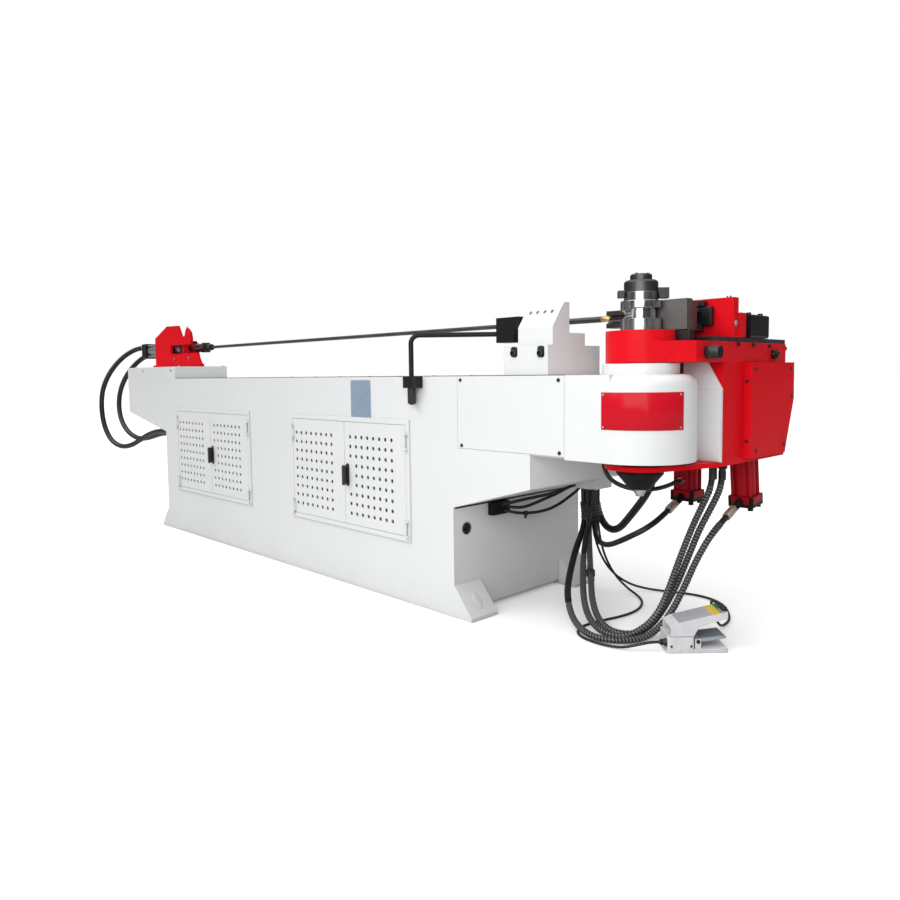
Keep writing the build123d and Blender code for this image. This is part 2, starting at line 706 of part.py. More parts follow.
# ---------------------------------------------------------------------------
# Mandrel extractor at the rear: bracket, cylinder, caps; coupling and rod
# ---------------------------------------------------------------------------
PED_TOP = BED_TOP + 75
with BuildPart() as extractor_bracket:
    with BuildSketch(xy(PED_TOP)):
        with BuildLine():
            Polyline((-3225, 176), (-2490, 176), (-2490, 200), (-2760, 326), (-3225, 326), close=True)
        make_face()
    extrude(amount=18)
    # near plate, slotted from its free end for the rod and coupling
    with BuildSketch(xz(181)):
        with BuildLine():
            Polyline(
                (-3190, PED_TOP + 10), (-3190, 1240), (-2990, 1316), (-2820, 1312), (-2776, 1244), (-2726, 1232),
                (-2700, 1284), (-2676, 1288), (-2640, 1262), (-2626, 1215), (-2640, 1184), (-2940, 1184),
                (-2940, 1124), (-2560, 1124), (-2530, 1090), (-2498, PED_TOP + 10), close=True,
            )
        make_face()
    extrude(amount=-16)
    # lower far plate
    with BuildSketch(xz(305)):
        with BuildLine():
            Polyline(
                (-3190, PED_TOP + 10), (-3190, 1215), (-3000, 1232), (-2940, 1232), (-2925, 1190), (-2800, 1130),
                (-2770, PED_TOP + 10), close=True,
            )
        make_face()
    extrude(amount=-16)
    # flange the cylinder's front cap is bolted to
    with BuildSketch(yz(-2790)):
        with Locations((TUBE_Y, (PED_TOP + 1196) / 2)):
            Rectangle(110, 1196 - PED_TOP)
        with Locations((TUBE_Y, TUBE_Z)):
            Circle(20, mode=Mode.SUBTRACT)
    extrude(amount=18)
save(extractor_bracket, "extractor_bracket")

with BuildPart() as extractor_cylinder:
    with BuildSketch(yz(-3400)):
        with Locations((TUBE_Y, TUBE_Z)):
            Circle(44)
            Circle(34, mode=Mode.SUBTRACT)
    extrude(amount=560)
    with BuildSketch(yz(-3400)):
        with Locations((TUBE_Y, TUBE_Z)):
            with GridLocations(78, 78, 2, 2):
                Circle(6)
    extrude(amount=560)
save(extractor_cylinder, "extractor_cylinder")

with BuildPart() as extractor_caps:
    with BuildSketch(yz(-3470)):
        with Locations((TUBE_Y, TUBE_Z)):
            RectangleRounded(106, 106, 8)
    extrude(amount=70)
    with BuildSketch(yz(-2840)):
        with Locations((TUBE_Y, TUBE_Z)):
            RectangleRounded(104, 104, 8)
            Circle(16.08, mode=Mode.SUBTRACT)
    extrude(amount=50)
    # two hose fittings on the rear cap
    with BuildSketch(yz(-3475)):
        with Locations((TUBE_Y - 26, TUBE_Z + 28), (TUBE_Y + 24, TUBE_Z - 28)):
            Circle(15)
    extrude(amount=5)
save(extractor_caps, "extractor_caps")

with BuildPart() as rod_coupling:
    with BuildSketch(yz(-3000)):
        with Locations((TUBE_Y, TUBE_Z)):
            Circle(16)
    extrude(amount=320)
    with BuildSketch(yz(-2680)):
        with Locations((TUBE_Y, TUBE_Z)):
            Circle(27)
    extrude(amount=96)
    with BuildSketch(yz(-2584)):
        with Locations((TUBE_Y, TUBE_Z)):
            RegularPolygon(36, 6)
    extrude(amount=40)
    with BuildSketch(yz(-2544)):
        with Locations((TUBE_Y, TUBE_Z)):
            Circle(20)
    extrude(amount=64)
save(rod_coupling, "rod_coupling")

with BuildPart() as mandrel_rod:
    with BuildSketch(yz(-2480)):
        with Locations((TUBE_Y, TUBE_Z)):
            Circle(9)
    extrude(amount=2790)
    with BuildSketch(yz(310)):
        with Locations((TUBE_Y, TUBE_Z)):
            Circle(11)
    extrude(amount=215)
    chamfer(mandrel_rod.edges().group_by(Axis.X)[-1], length=3)
save(mandrel_rod, "mandrel_rod")

# ---------------------------------------------------------------------------
# Swivelling rod rest on the bed side
# ---------------------------------------------------------------------------
RR_X, RR_Y, RR_Z = -210.0, -25.0, 1127.0
with BuildPart() as rod_rest_clamp:
    with BuildSketch(xy(914)):
        with BuildLine():
            Polyline((-250, 0), (-250, -36), (-240, -46), (-180, -46), (-170, -36), (-170, 0), close=True)
        make_face()
        with Locations((RR_X, RR_Y)):
            Circle(10.06, mode=Mode.SUBTRACT)
    extrude(amount=46)
save(rod_rest_clamp, "rod_rest_clamp")

with BuildPart() as rod_rest:
    with BuildLine() as rest_path:
        FilletPolyline(p3(RR_X, RR_Y, 846), p3(RR_X, RR_Y, RR_Z), p3(62, 241.3, RR_Z), radius=34)
    with BuildSketch(Plane(origin=p3(RR_X, RR_Y, 846), z_dir=(0, 0, 1))):
        Circle(10)
    sweep()
    # cradle with a hollowed front, slotted for the rod
    with BuildSketch(xz(206)):
        with BuildLine():
            Polyline((172, 1186), (168, 1190), (47, 1190), (47, 1091), (140, 1091), (140, 1115))
            ThreePointArc((140, 1115), (146, 1152), (172, 1186))
        make_face()
    extrude(amount=-74)
    with BuildSketch(yz(40)):
        with Locations((262, TUBE_Z)):
            Rectangle(44, 26)
    extrude(amount=150, mode=Mode.SUBTRACT)
save(rod_rest, "rod_rest")

# ---------------------------------------------------------------------------
# Power pack inside the bed and its actuator inside the head
# ---------------------------------------------------------------------------
with BuildPart() as power_pack:
    with BuildSketch(xy(20)):
        with Locations((-2020, 480)):
            RectangleRounded(860, 500, 20)
    extrude(amount=400)
    with BuildSketch(yz(-2340)):
        with Locations((480, 552)):
            Circle(112)
    extrude(amount=360)
    with BuildSketch(yz(-1980)):
        with Locations((480, 552)):
            Circle(62)
    extrude(amount=150)
    with BuildSketch(xy(420)):
        with Locations((-2160, 480)):
            Rectangle(260, 190)
    extrude(amount=60)
    # rotary actuator round the spindle, inside the head
    with BuildSketch(xy(728)):
        with Locations((SPX, SPY)):
            Circle(150)
            Circle(SHAFT_R + 2, mode=Mode.SUBTRACT)
    extrude(amount=178)
    with BuildSketch(yz(HEAD_X0 + 2)):
        with Locations((SPY, 817)):
            Rectangle(120, 130)
    extrude(amount=50)
save(power_pack, "power_pack")

# outlet block for hoses under the haunch and cable duct on the end panel
OUT_Y = 662.0
with BuildPart() as hose_outlets:
    with BuildSketch(xz(OUT_Y + 60)):
        with BuildLine():
            Polyline((130, 468), (250, 468), (250, HAUNCH_Z0 + 250 * 0.28244), (130, HAUNCH_Z0 + 130 * 0.28244), close=True)
        make_face()
    extrude(amount=120)
    with BuildSketch(xy(386)):
        with Locations((14, 252)):
            Rectangle(28, 104)
    extrude(amount=52)
    # glands where the rear hoses enter the body
    with BuildSketch(yz(BODY_REAR - 22)):
        with Locations((100, 604), (146, 586)):
            Circle(17)
    extrude(amount=22)
save(hose_outlets, "hose_outlets")

# ---------------------------------------------------------------------------
# Foot switch on the floor in front of the head
# ---------------------------------------------------------------------------
FS = Plane(origin=p3(803, 237, 0), x_dir=(0.695, 0.719, 0), z_dir=(0, 0, 1))
FS_XZ = Plane(origin=FS.origin, x_dir=FS.x_dir, z_dir=FS.x_dir.cross(Vector(0, 0, 1)))
FS_L, FS_W = 212.0, 110.0
with BuildPart() as foot_switch_base:
    with BuildSketch(FS):
        with Locations((FS_L / 2, FS_W / 2)):
            RectangleRounded(FS_L, FS_W, 10)
    extrude(amount=14)
    with BuildSketch(FS.offset(14)):
        with Locations((50, FS_W / 2)):
            RectangleRounded(92, FS_W - 4, 10)
    extrude(amount=46)
    # hood: rises from the rear block over the pedal
    for y0, y1 in ((3.0, 9.0), (FS_W - 9.0, FS_W - 3.0)):
        with BuildSketch(FS_XZ.offset(-y0)):
            with BuildLine():
                Polyline((14, 50), (88, 50), (112, 92), (210, 120), (209, 143), (40, 104), (14, 92), close=True)
            make_face()
        extrude(amount=-(y1 - y0))
    with BuildSketch(FS_XZ.offset(-3)):
        with BuildLine():
            Polyline((14, 84), (42, 96), (209.5, 135), (209, 143), (40, 104), (14, 92), close=True)
        make_face()
    extrude(amount=-(FS_W - 6))
    # ears for the pedal's axle
    for y0 in (3.0, FS_W - 9.0):
        with BuildSketch(FS_XZ.offset(-y0)):
            with BuildLine():
                Polyline((98, 13), (118, 13), (118, 48), (98, 48), close=True)
            make_face()
            with Locations((108, 40)):
                Circle(4.06, mode=Mode.SUBTRACT)
        extrude(amount=-6)
    # cable gland on the end of the rear block, cable boot on the tip of the hood
    gland_at = FS.origin + FS.x_dir * 7 + FS.y_dir * 22 + Vector(0, 0, 34)
    with BuildSketch(Plane(origin=gland_at, x_dir=FS.y_dir, z_dir=FS.x_dir * -1)):
        Circle(10)
    extrude(amount=25)
    boot_at = FS.origin + FS.x_dir * 199 + FS.y_dir * 8 + Vector(0, 0, 153)
    with BuildSketch(Plane(origin=boot_at, x_dir=FS.x_dir, z_dir=FS.y_dir)):
        Circle(9)
        with Locations((0, 8)):
            Rectangle(14, 12)
    extrude(amount=44)
save(foot_switch_base, "foot_switch_base")

with BuildPart() as foot_pedal:
    with BuildSketch(FS_XZ.offset(-13)):
        with BuildLine():
            Polyline((104, 34), (116, 34), (206, 47), (208, 53), (202, 56), (110, 46), close=True)
        make_face()
    extrude(amount=-(FS_W - 26))
    with BuildSketch(FS_XZ.offset(-3)):
        with Locations((108, 40)):
            Circle(4)
    extrude(amount=-(FS_W - 6))
save(foot_pedal, "foot_pedal")

# ---------------------------------------------------------------------------
# Hoses and the pedal cable: straight runs with arcs as large as they allow
# ---------------------------------------------------------------------------
def route_radii(pts):
    out = []
    for a, b, c in zip(pts, pts[1:], pts[2:]):
        u = Vector(*b) - Vector(*a)
        w = Vector(*c) - Vector(*b)
        turn = math.radians(u.get_angle(w))
        out.append(0.45 * min(u.length, w.length) / math.tan(turn / 2))
    return out


routes = {
    "rear_hose_upper": (HOSE_D, [
        (-3475, 225, 1187), (-3540, 225, 1187), (-3616, 196, 1174), (-3684, 132, 1118), (-3735, 58, 1016),
        (-3758, 4, 890), (-3752, -20, 750), (-3706, -18, 612), (-3618, 2, 510), (-3500, 30, 466),
        (-3372, 56, 482), (-3250, 74, 530), (-3130, 86, 574), (-3010, 94, 598), (-2890, 98, 606),
        (-2770, 100, 604), (-2667, 100, 604),
    ]),
    "rear_hose_lower": (HOSE_D, [
        (-3475, 275, 1131), (-3540, 275, 1131), (-3625, 257, 1112), (-3687, 212, 1052), (-3722, 160, 962),
        (-3726, 120, 856), (-3698, 98, 742), (-3632, 92, 638), (-3532, 102, 562), (-3414, 120, 526),
        (-3296, 136, 532), (-3178, 146, 556), (-3060, 149, 578), (-2940, 148, 588), (-2820, 146.5, 588),
        (-2740, 146, 586), (-2667, 146, 586),
    ]),
    "clamp_hose_a": (HOSE_D, [
        (160, 640, 468), (160, 640, 408), (176, 632, 348), (188, 600, 288), (212, 516, 227),
        (255.5, 416, 151), (306, 329, 96), (384, 245, 51.5), (462, 192, 24), (541, 169, 13.4),
        (612, 182, 13), (664, 230, 13.2), (693, 288, 18), (712, 338, 44), (738, 376, 96),
        (766, 412, 182), (794, 446, 282), (826, 474, 362), (843, 521.5, 408.97), (843, 585.03, 434.25),
    ]),
    "clamp_hose_b": (HOSE_D, [
        (196, 622, 468), (196, 622, 408), (210, 613, 338), (237, 576, 258), (289, 508, 190),
        (350, 430, 132), (413, 348, 82), (484, 283.4, 41.7), (547.3, 259, 17.6), (606.4, 268, 13),
        (650.4, 304, 18), (678, 342, 44), (703, 380, 98), (732, 419, 181), (762, 450, 290),
        (792, 480, 400), (828, 510, 490), (850, 530, 560), (850, 530, 618),
    ]),
    "pressure_hose": (HOSE_D, [
        (622, 557.65, 436.07), (622, 485.95, 407.54), (595.2, 425, 373.7), (538, 405, 330), (466, 430, 286),
        (396, 476, 256), (331, 524, 246), (278, 567, 258), (249, 600, 296), (236, 624, 348),
        (233, 640, 404), (233, 640, 468),
    ]),
    "trunk_hose": (TRUNK_D, [
        (200, 676, 468), (200, 676, 419), (208, 671, 369), (233, 657.5, 327), (271, 637, 299.5),
        (320, 610, 290.2), (377, 579, 309), (447.5, 539, 381), (526, 494, 447), (590, 458, 508),
        (629, 436.4, 574), (640, 430, 625), (640, 430, 676),
    ]),
    "pedal_cable": (CABLE_D, [
        (160, 692, 468), (160, 692, 424), (166, 690, 350), (176, 694, 262), (194, 712, 170),
        (230, 748, 84), (290, 800, 28), (370, 852, 8), (462, 896, 6), (552, 922, 6.3),
        (640, 908, 6), (708, 856, 6.2), (762, 782, 6), (806, 698, 6.4), (832, 622, 10),
        (840, 580, 26), (842, 540, 72), (847, 501, 126), (862, 466, 153), (903.92, 416.22, 153),
    ]),
    "gland_cable": (CABLE_D, [
        (186, 708, 468), (186, 708, 424), (188, 706, 350), (198, 704, 262), (220, 708, 170),
        (256, 730, 84), (308, 756, 24), (370, 744, 6), (426, 690, 6.2), (466, 620, 6),
        (484, 540, 6.3), (478, 460, 6), (458, 385, 6.2), (440, 315, 6), (436, 248, 6.2),
        (456, 190, 6), (502, 156, 6.3), (560, 144, 6), (620, 146, 6.4), (676, 158, 10),
        (722, 185.5, 25), (752.43, 216.34, 34), (774.67, 239.35, 34),
    ]),
}
for hose_name, (dia, pts) in routes.items():
    radii = route_radii(pts)
    world = [p3(*q) for q in pts]
    with BuildPart() as hose:
        with BuildLine() as hose_path:
            FilletPolyline(*world, radius=radii)
        start = Vector(*world[0])
        with BuildSketch(Plane(origin=start, z_dir=Vector(*world[1]) - start)):
            Circle(dia / 2)
        sweep()
    length = sum(e.length for e in hose_path.edges())
    expect = math.pi * dia * dia / 4 * length
    print(hose_name, "length %.0f" % length, "volume ratio %.4f" % (hose.part.volume / expect),
          "min radius %.0f" % min(radii), "radii", [round(r) for r in radii])
    save(hose, hose_name)
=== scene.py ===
import json
import math
import bpy
import bmesh
from mathutils import Vector, Matrix


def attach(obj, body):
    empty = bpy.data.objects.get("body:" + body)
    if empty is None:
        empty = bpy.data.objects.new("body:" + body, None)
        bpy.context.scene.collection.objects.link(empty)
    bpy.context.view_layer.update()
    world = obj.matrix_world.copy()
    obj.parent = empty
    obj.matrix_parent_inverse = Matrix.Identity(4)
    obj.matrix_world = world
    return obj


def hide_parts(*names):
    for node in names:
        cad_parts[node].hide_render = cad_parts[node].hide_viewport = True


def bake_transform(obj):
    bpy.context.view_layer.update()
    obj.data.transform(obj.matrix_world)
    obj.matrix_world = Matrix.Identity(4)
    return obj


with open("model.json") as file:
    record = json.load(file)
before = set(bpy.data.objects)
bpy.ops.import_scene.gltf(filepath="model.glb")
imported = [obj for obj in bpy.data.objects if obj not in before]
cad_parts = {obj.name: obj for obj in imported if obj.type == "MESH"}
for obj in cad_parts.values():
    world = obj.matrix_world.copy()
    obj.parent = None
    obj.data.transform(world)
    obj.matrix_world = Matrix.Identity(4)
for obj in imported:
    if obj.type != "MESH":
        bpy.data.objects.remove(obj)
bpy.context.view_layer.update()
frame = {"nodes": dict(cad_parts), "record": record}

NODES = frame["nodes"]
FX, FY = 1.251194, -0.441


def P(x, y, z):
    """A point of the machine's own station coordinates (mm) in the row frame (m)."""
    return Vector((x / 1000 + FX, y / 1000 + FY, z / 1000))


# ------------------------------------------------------------------ camera
YAW, PITCH, ROLL = 0.79954, 0.072698, -0.01193
d = Vector((-math.sin(YAW) * math.cos(PITCH), math.cos(YAW) * math.cos(PITCH), -math.sin(PITCH)))
r = Vector((math.cos(YAW), math.sin(YAW), 0.0))
u = r.cross(d)
r2 = r * math.cos(ROLL) + u * math.sin(ROLL)
u2 = -r * math.sin(ROLL) + u * math.cos(ROLL)
cam_data = bpy.data.cameras.new("camera")
cam_data.sensor_fit = "HORIZONTAL"
cam_data.sensor_width = 36.0
cam_data.lens = 753.11 / 900 * 36.0
cam_data.shift_x = (450 - 452.83) / 900
cam_data.shift_y = (428.41 - 450) / 900
cam_data.clip_end = 400
cam = bpy.data.objects.new("camera", cam_data)
eye = P(2108.30, -2047.11, 970.45)
cam.matrix_world = Matrix((
    (r2.x, u2.x, -d.x, eye.x),
    (r2.y, u2.y, -d.y, eye.y),
    (r2.z, u2.z, -d.z, eye.z),
    (0, 0, 0, 1),
))
bpy.context.scene.collection.objects.link(cam)
bpy.context.scene.camera = cam


# ------------------------------------------------------------------ materials
class Mat:
    """A node material on one Principled shader."""

    def __init__(self, name, **consts):
        self.m = bpy.data.materials.new(name)
        self.m.use_nodes = True
        self.t = self.m.node_tree
        self.t.nodes.clear()
        self.out = self.add("ShaderNodeOutputMaterial")
        self.b = self.add("ShaderNodeBsdfPrincipled")
        self.link(self.b.outputs["BSDF"], self.out.inputs["Surface"])
        for k, v in consts.items():
            self.b.inputs[k.replace("_", " ")].default_value = v
        self.tc = self.add("ShaderNodeTexCoord")

    def add(self, kind, **props):
        n = self.t.nodes.new(kind)
        for k, v in props.items():
            setattr(n, k, v)
        return n

    def link(self, a, b):
        self.t.links.new(a, b)

    def put(self, node, sock, value):
        if hasattr(value, "is_output"):
            self.link(value, node.inputs[sock])
        else:
            node.inputs[sock].default_value = value

    def coords(self, scale=(1, 1, 1), kind="Object", rot=(0, 0, 0)):
        mp = self.add("ShaderNodeMapping")
        mp.inputs["Scale"].default_value = scale
        mp.inputs["Rotation"].default_value = rot
        self.link(self.tc.outputs[kind], mp.inputs["Vector"])
        return mp.outputs["Vector"]

    def noise(self, scale, detail=3.0, rough=0.55, vec=None, dist=0.0):
        n = self.add("ShaderNodeTexNoise")
        n.inputs["Scale"].default_value = scale
        n.inputs["Detail"].default_value = detail
        n.inputs["Roughness"].default_value = rough
        n.inputs["Distortion"].default_value = dist
        self.link(vec if vec is not None else self.tc.outputs["Object"], n.inputs["Vector"])
        return n.outputs["Fac"]

    def voronoi(self, scale, vec=None, feature="F1", rand=1.0):
        n = self.add("ShaderNodeTexVoronoi", feature=feature)
        n.inputs["Scale"].default_value = scale
        n.inputs["Randomness"].default_value = rand
        self.link(vec if vec is not None else self.tc.outputs["Object"], n.inputs["Vector"])
        return n.outputs["Distance"]

    def wave(self, scale, vec, direction="X", dist=0.0, profile="SIN", detail=1.0):
        n = self.add("ShaderNodeTexWave", wave_type="BANDS", bands_direction=direction, wave_profile=profile)
        n.inputs["Scale"].default_value = scale
        n.inputs["Distortion"].default_value = dist
        n.inputs["Detail"].default_value = detail
        self.link(vec, n.inputs["Vector"])
        return n.outputs["Fac"]

    def ramp(self, fac, stops, interp="LINEAR"):
        n = self.add("ShaderNodeValToRGB")
        n.color_ramp.interpolation = interp
        el = n.color_ramp.elements
        while len(el) < len(stops):
            el.new(0.5)
        for e, (pos, col) in zip(el, stops):
            e.position = pos
            e.color = (*col, 1) if len(col) == 3 else col
        self.link(fac, n.inputs["Fac"])
        return n.outputs["Color"]

    def rng(self, value, a, b, c, dd, smooth=False):
        n = self.add("ShaderNodeMapRange")
        if smooth:
            n.interpolation_type = "SMOOTHSTEP"
        self.put(n, "Value", value)
        n.inputs["From Min"].default_value = a
        n.inputs["From Max"].default_value = b
        n.inputs["To Min"].default_value = c
        n.inputs["To Max"].default_value = dd
        return n.outputs["Result"]

    def math(self, op, a, b=0.0, clamp=False):
        n = self.add("ShaderNodeMath", operation=op, use_clamp=clamp)
        self.put(n, 0, a)
        self.put(n, 1, b)
        return n.outputs[0]

    def mix(self, fac, a, b, blend="MIX"):
        n = self.add("ShaderNodeMix", data_type="RGBA", blend_type=blend)
        self.put(n, 0, fac)
        self.put(n, 6, a if hasattr(a, "is_output") else (*a, 1))
        self.put(n, 7, b if hasattr(b, "is_output") else (*b, 1))
        return n.outputs[2]

    def sep(self, vec):
        n = self.add("ShaderNodeSeparateXYZ")
        self.link(vec, n.inputs[0])
        return n.outputs

    def bevel(self, radius):
        n = self.add("ShaderNodeBevel", samples=4)
        n.inputs["Radius"].default_value = radius
        return n.outputs["Normal"]

    def edge(self, radius, lo, hi):
        """1 on edges that are rounder than the surface, 0 on flat faces."""
        g = self.add("ShaderNodeNewGeometry")
        dot = self.add("ShaderNodeVectorMath", operation="DOT_PRODUCT")
        self.link(self.bevel(radius), dot.inputs[0])
        self.link(g.outputs["Normal"], dot.inputs[1])
        return self.rng(dot.outputs["Value"], lo, hi, 1.0, 0.0)

    def ao(self, distance, inside=False):
        n = self.add("ShaderNodeAmbientOcclusion", samples=4, inside=inside)
        n.inputs["Distance"].default_value = distance
        return n.outputs["AO"]

    def bump(self, height, strength, distance, normal=None):
        n = self.add("ShaderNodeBump")
        n.inputs["Strength"].default_value = strength
        n.inputs["Distance"].default_value = distance
        self.link(height, n.inputs["Height"])
        if normal is not None:
            self.link(normal, n.inputs["Normal"])
        return n.outputs["Normal"]

    def color(self, out):
        self.link(out, self.b.inputs["Base Color"])

    def rough(self, out):
        self.link(out, self.b.inputs["Roughness"])

    def normal(self, out):
        self.link(out, self.b.inputs["Normal"])


def paint(name, dark, light, worn, grime_and_shade_tone, lo=0.30, hi=0.42, peel=0.05, radius=0.0022, coat=0.0, wear=0.25, floor_dirt=False, corner_shade_fac=0.55, speck=0.10, spec=0.5):
    """Sprayed enamel: faint colour drift, orange peel, rounded edges, painted shade in the corners."""
    m = Mat(name, Metallic=0.0, IOR=1.5, Coat_Weight=coat, Coat_Roughness=0.12, Specular_IOR_Level=spec)
    drift = m.noise(1.7, 4.0, 0.6)
    col = m.ramp(drift, [(0.30, dark), (0.70, light)])
    col = m.mix(m.rng(m.noise(380, 2.0, 0.6), 0.60, 0.80, 0.0, speck), col, grime_and_shade_tone)
    rim = m.math("MULTIPLY", m.edge(radius * 1.3, 0.93, 0.995), m.rng(m.noise(36, 4.0, 0.7), 0.42, 0.64, 0.0, wear))
    col = m.mix(rim, col, worn)
    # painted shade: colour drawn towards the grime tone where ambient occlusion finds corners and creases, broken up by
    # noise
    painted_crease_shade = m.math("MULTIPLY", m.rng(m.ao(0.035), 0.30, 0.85, corner_shade_fac, 0.0), m.rng(m.noise(14, 3.0, 0.6), 0.25, 0.75, 0.55, 1.0))
    col = m.mix(painted_crease_shade, col, grime_and_shade_tone)
    if floor_dirt:
        z = m.sep(m.tc.outputs["Object"])[2]
        low = m.math("MULTIPLY", m.rng(z, 0.0, 0.16, 0.14, 0.0, True), m.rng(m.noise(22, 5.0, 0.7), 0.35, 0.75, 0.1, 1.0))
        col = m.mix(low, col, (0.42, 0.40, 0.36))
    m.color(col)
    m.rough(m.rng(m.noise(5.5, 5.0, 0.65), 0.25, 0.75, lo, hi))
    m.normal(m.bump(m.noise(300, 2.0, 0.5), peel, 0.0008, m.bevel(radius)))
    return m.m


def metal(name, dark, light, lo, hi, streak=(1, 1, 1), streak_scale=120, bump=0.10, stain=None, stain_fac=0.4, radius=0.0012, metallic=1.0, rings=None, rot=(0, 0, 0)):
    """Machined metal: tool marks along one way, uneven polish, stains of oil and heat."""
    m = Mat(name, Metallic=metallic, IOR=2.0)
    vec = m.coords(streak, rot=rot)
    lines = m.noise(streak_scale, 3.0, 0.6, vec)
    cloud = m.noise(9.0, 5.0, 0.65)
    col = m.ramp(m.math("ADD", m.math("MULTIPLY", lines, 0.55), m.math("MULTIPLY", cloud, 0.45)), [(0.32, dark), (0.66, light)])
    if stain is not None:
        col = m.mix(m.rng(m.noise(6.0, 6.0, 0.7, dist=0.6), 0.48, 0.72, 0.0, stain_fac), col, stain)
    edge = m.math("MULTIPLY", m.edge(radius * 1.6, 0.92, 0.995), m.rng(m.noise(70, 3.0, 0.6), 0.35, 0.65, 0.0, 0.7))
    col = m.mix(edge, col, tuple(min(1.0, c * 1.5 + 0.06) for c in light))
    # painted shade: colour darkened where ambient occlusion finds corners and crevices
    col = m.mix(m.rng(m.ao(0.02), 0.25, 0.8, 0.45, 0.0), col, tuple(c * 0.35 for c in dark))
    m.color(col)
    m.rough(m.rng(m.math("ADD", m.math("MULTIPLY", lines, 0.5), m.math("MULTIPLY", cloud, 0.5)), 0.3, 0.7, lo, hi))
    h = lines
    if rings:
        h = m.math("ADD", m.math("MULTIPLY", lines, 0.5), m.wave(rings, m.tc.outputs["Object"], "Z", 0.6))
    m.normal(m.bump(h, bump, 0.0004, m.bevel(radius)))
    return m.m


def plastic(name, dark, light, lo, hi, grain=900, bump=0.12, dust=(0.35, 0.35, 0.34), dust_fac=0.12, radius=0.0014):
    """Moulded plastic: fine spark-eroded grain, dust on top faces."""
    m = Mat(name, Metallic=0.0, IOR=1.47)
    col = m.ramp(m.noise(7.0, 4.0, 0.6), [(0.3, dark), (0.7, light)])
    g = m.add("ShaderNodeNewGeometry")
    up = m.sep(g.outputs["Normal"])[2]
    col = m.mix(m.math("MULTIPLY", m.rng(up, 0.2, 1.0, 0.1, 1.0), m.rng(m.noise(60, 5.0, 0.7), 0.4, 0.7, 0.0, dust_fac)), col, dust)
    edge = m.math("MULTIPLY", m.edge(radius * 1.5, 0.92, 0.995), m.rng(m.noise(55, 3.0, 0.6), 0.4, 0.65, 0.0, 0.45))
    col = m.mix(edge, col, tuple(min(1.0, c * 1.25 + 0.03) for c in light))
    m.color(col)
    m.rough(m.rng(m.noise(24, 4.0, 0.6), 0.3, 0.7, lo, hi))
    m.normal(m.bump(m.voronoi(grain), bump, 0.0004, m.bevel(radius)))
    return m.m


MAT = {
    "white_paint": paint("white_enamel", (0.775, 0.79, 0.797), (0.815, 0.826, 0.83), (0.66, 0.67, 0.67), (0.46, 0.47, 0.46), 0.30, 0.40, 0.05, 0.0026, 0.12, 0.20, True),
    "red_paint": paint("red_enamel", (0.72, 0.0055, 0.0125), (0.80, 0.0075, 0.0160), (0.82, 0.05, 0.05), (0.24, 0.006, 0.012), 0.26, 0.38, 0.06, 0.0022, 0.0, 0.35, False, 0.55, 0.02, 0.03),
    "black_paint": paint("black_enamel", (0.006, 0.006, 0.007), (0.012, 0.012, 0.013), (0.06, 0.06, 0.063), (0.03, 0.028, 0.025), 0.30, 0.46, 0.09, 0.0018, 0.0, 0.5, False, 0.25, 0.10, 0.22),
    "machine_grey": paint("hammered_grey", (0.25, 0.28, 0.31), (0.33, 0.36, 0.39), (0.5, 0.5, 0.5), (0.14, 0.14, 0.14), 0.35, 0.5, 0.22, 0.002, 0.0, 0.4),
    "dark_steel": metal("black_oxide_steel", (0.055, 0.055, 0.058), (0.13, 0.13, 0.135), 0.30, 0.48, (6, 1, 6), 60, 0.10, (0.10, 0.062, 0.035), 0.45),
    "steel": metal("ground_steel", (0.36, 0.37, 0.38), (0.56, 0.57, 0.585), 0.24, 0.42, (1, 14, 14), 40, 0.10, (0.30, 0.27, 0.22), 0.25),
    "chrome": metal("turned_chrome", (0.38, 0.385, 0.395), (0.55, 0.555, 0.565), 0.15, 0.27, (0.6, 0.6, 26), 26, 0.05, (0.42, 0.40, 0.37), 0.20, 0.0014, 1.0, 260),
    "zinc": metal("zinc_plate", (0.45, 0.455, 0.45), (0.66, 0.665, 0.67), 0.28, 0.46, (1, 1, 8), 50, 0.08, (0.52, 0.46, 0.30), 0.35),
    "switch_grey": plastic("grey_polycarbonate", (0.60, 0.615, 0.63), (0.69, 0.70, 0.71), 0.38, 0.52, 800, 0.10, (0.5, 0.49, 0.47), 0.18),
    "pedal_grey": plastic("pedal_alloy", (0.27, 0.29, 0.33), (0.40, 0.42, 0.46), 0.30, 0.44, 500, 0.14, (0.5, 0.5, 0.5), 0.2),
    "black_plastic": plastic("black_nylon", (0.014, 0.014, 0.015), (0.026, 0.026, 0.028), 0.34, 0.50, 700, 0.14),
}


def hose_mat(name, dark, light, dust, braid, lo, hi):
    """Rubber with a cloth-impressed cover, mapped along and round the hose."""
    m = Mat(name, Metallic=0.0, IOR=1.5)
    uv = m.tc.outputs["UV"]
    col = m.ramp(m.noise(40, 4.0, 0.6, uv), [(0.3, dark), (0.7, light)])
    col = m.mix(m.rng(m.noise(9, 6.0, 0.72, uv), 0.50, 0.74, 0.0, 0.35), col, dust)
    m.color(col)
    m.rough(m.rng(m.noise(30, 4.0, 0.6, uv), 0.3, 0.7, lo, hi))
    if braid:
        a = m.wave(braid, m.coords((1, 0.10, 1), "UV"), "DIAGONAL", 0.0)
        b = m.wave(braid, m.coords((1, -0.10, 1), "UV"), "DIAGONAL", 0.0)
        h = m.math("MAXIMUM", a, b)
    else:
        h = m.noise(400, 2.0, 0.5, uv)
    m.normal(m.bump(h, 0.16, 0.0006))
    return m.m


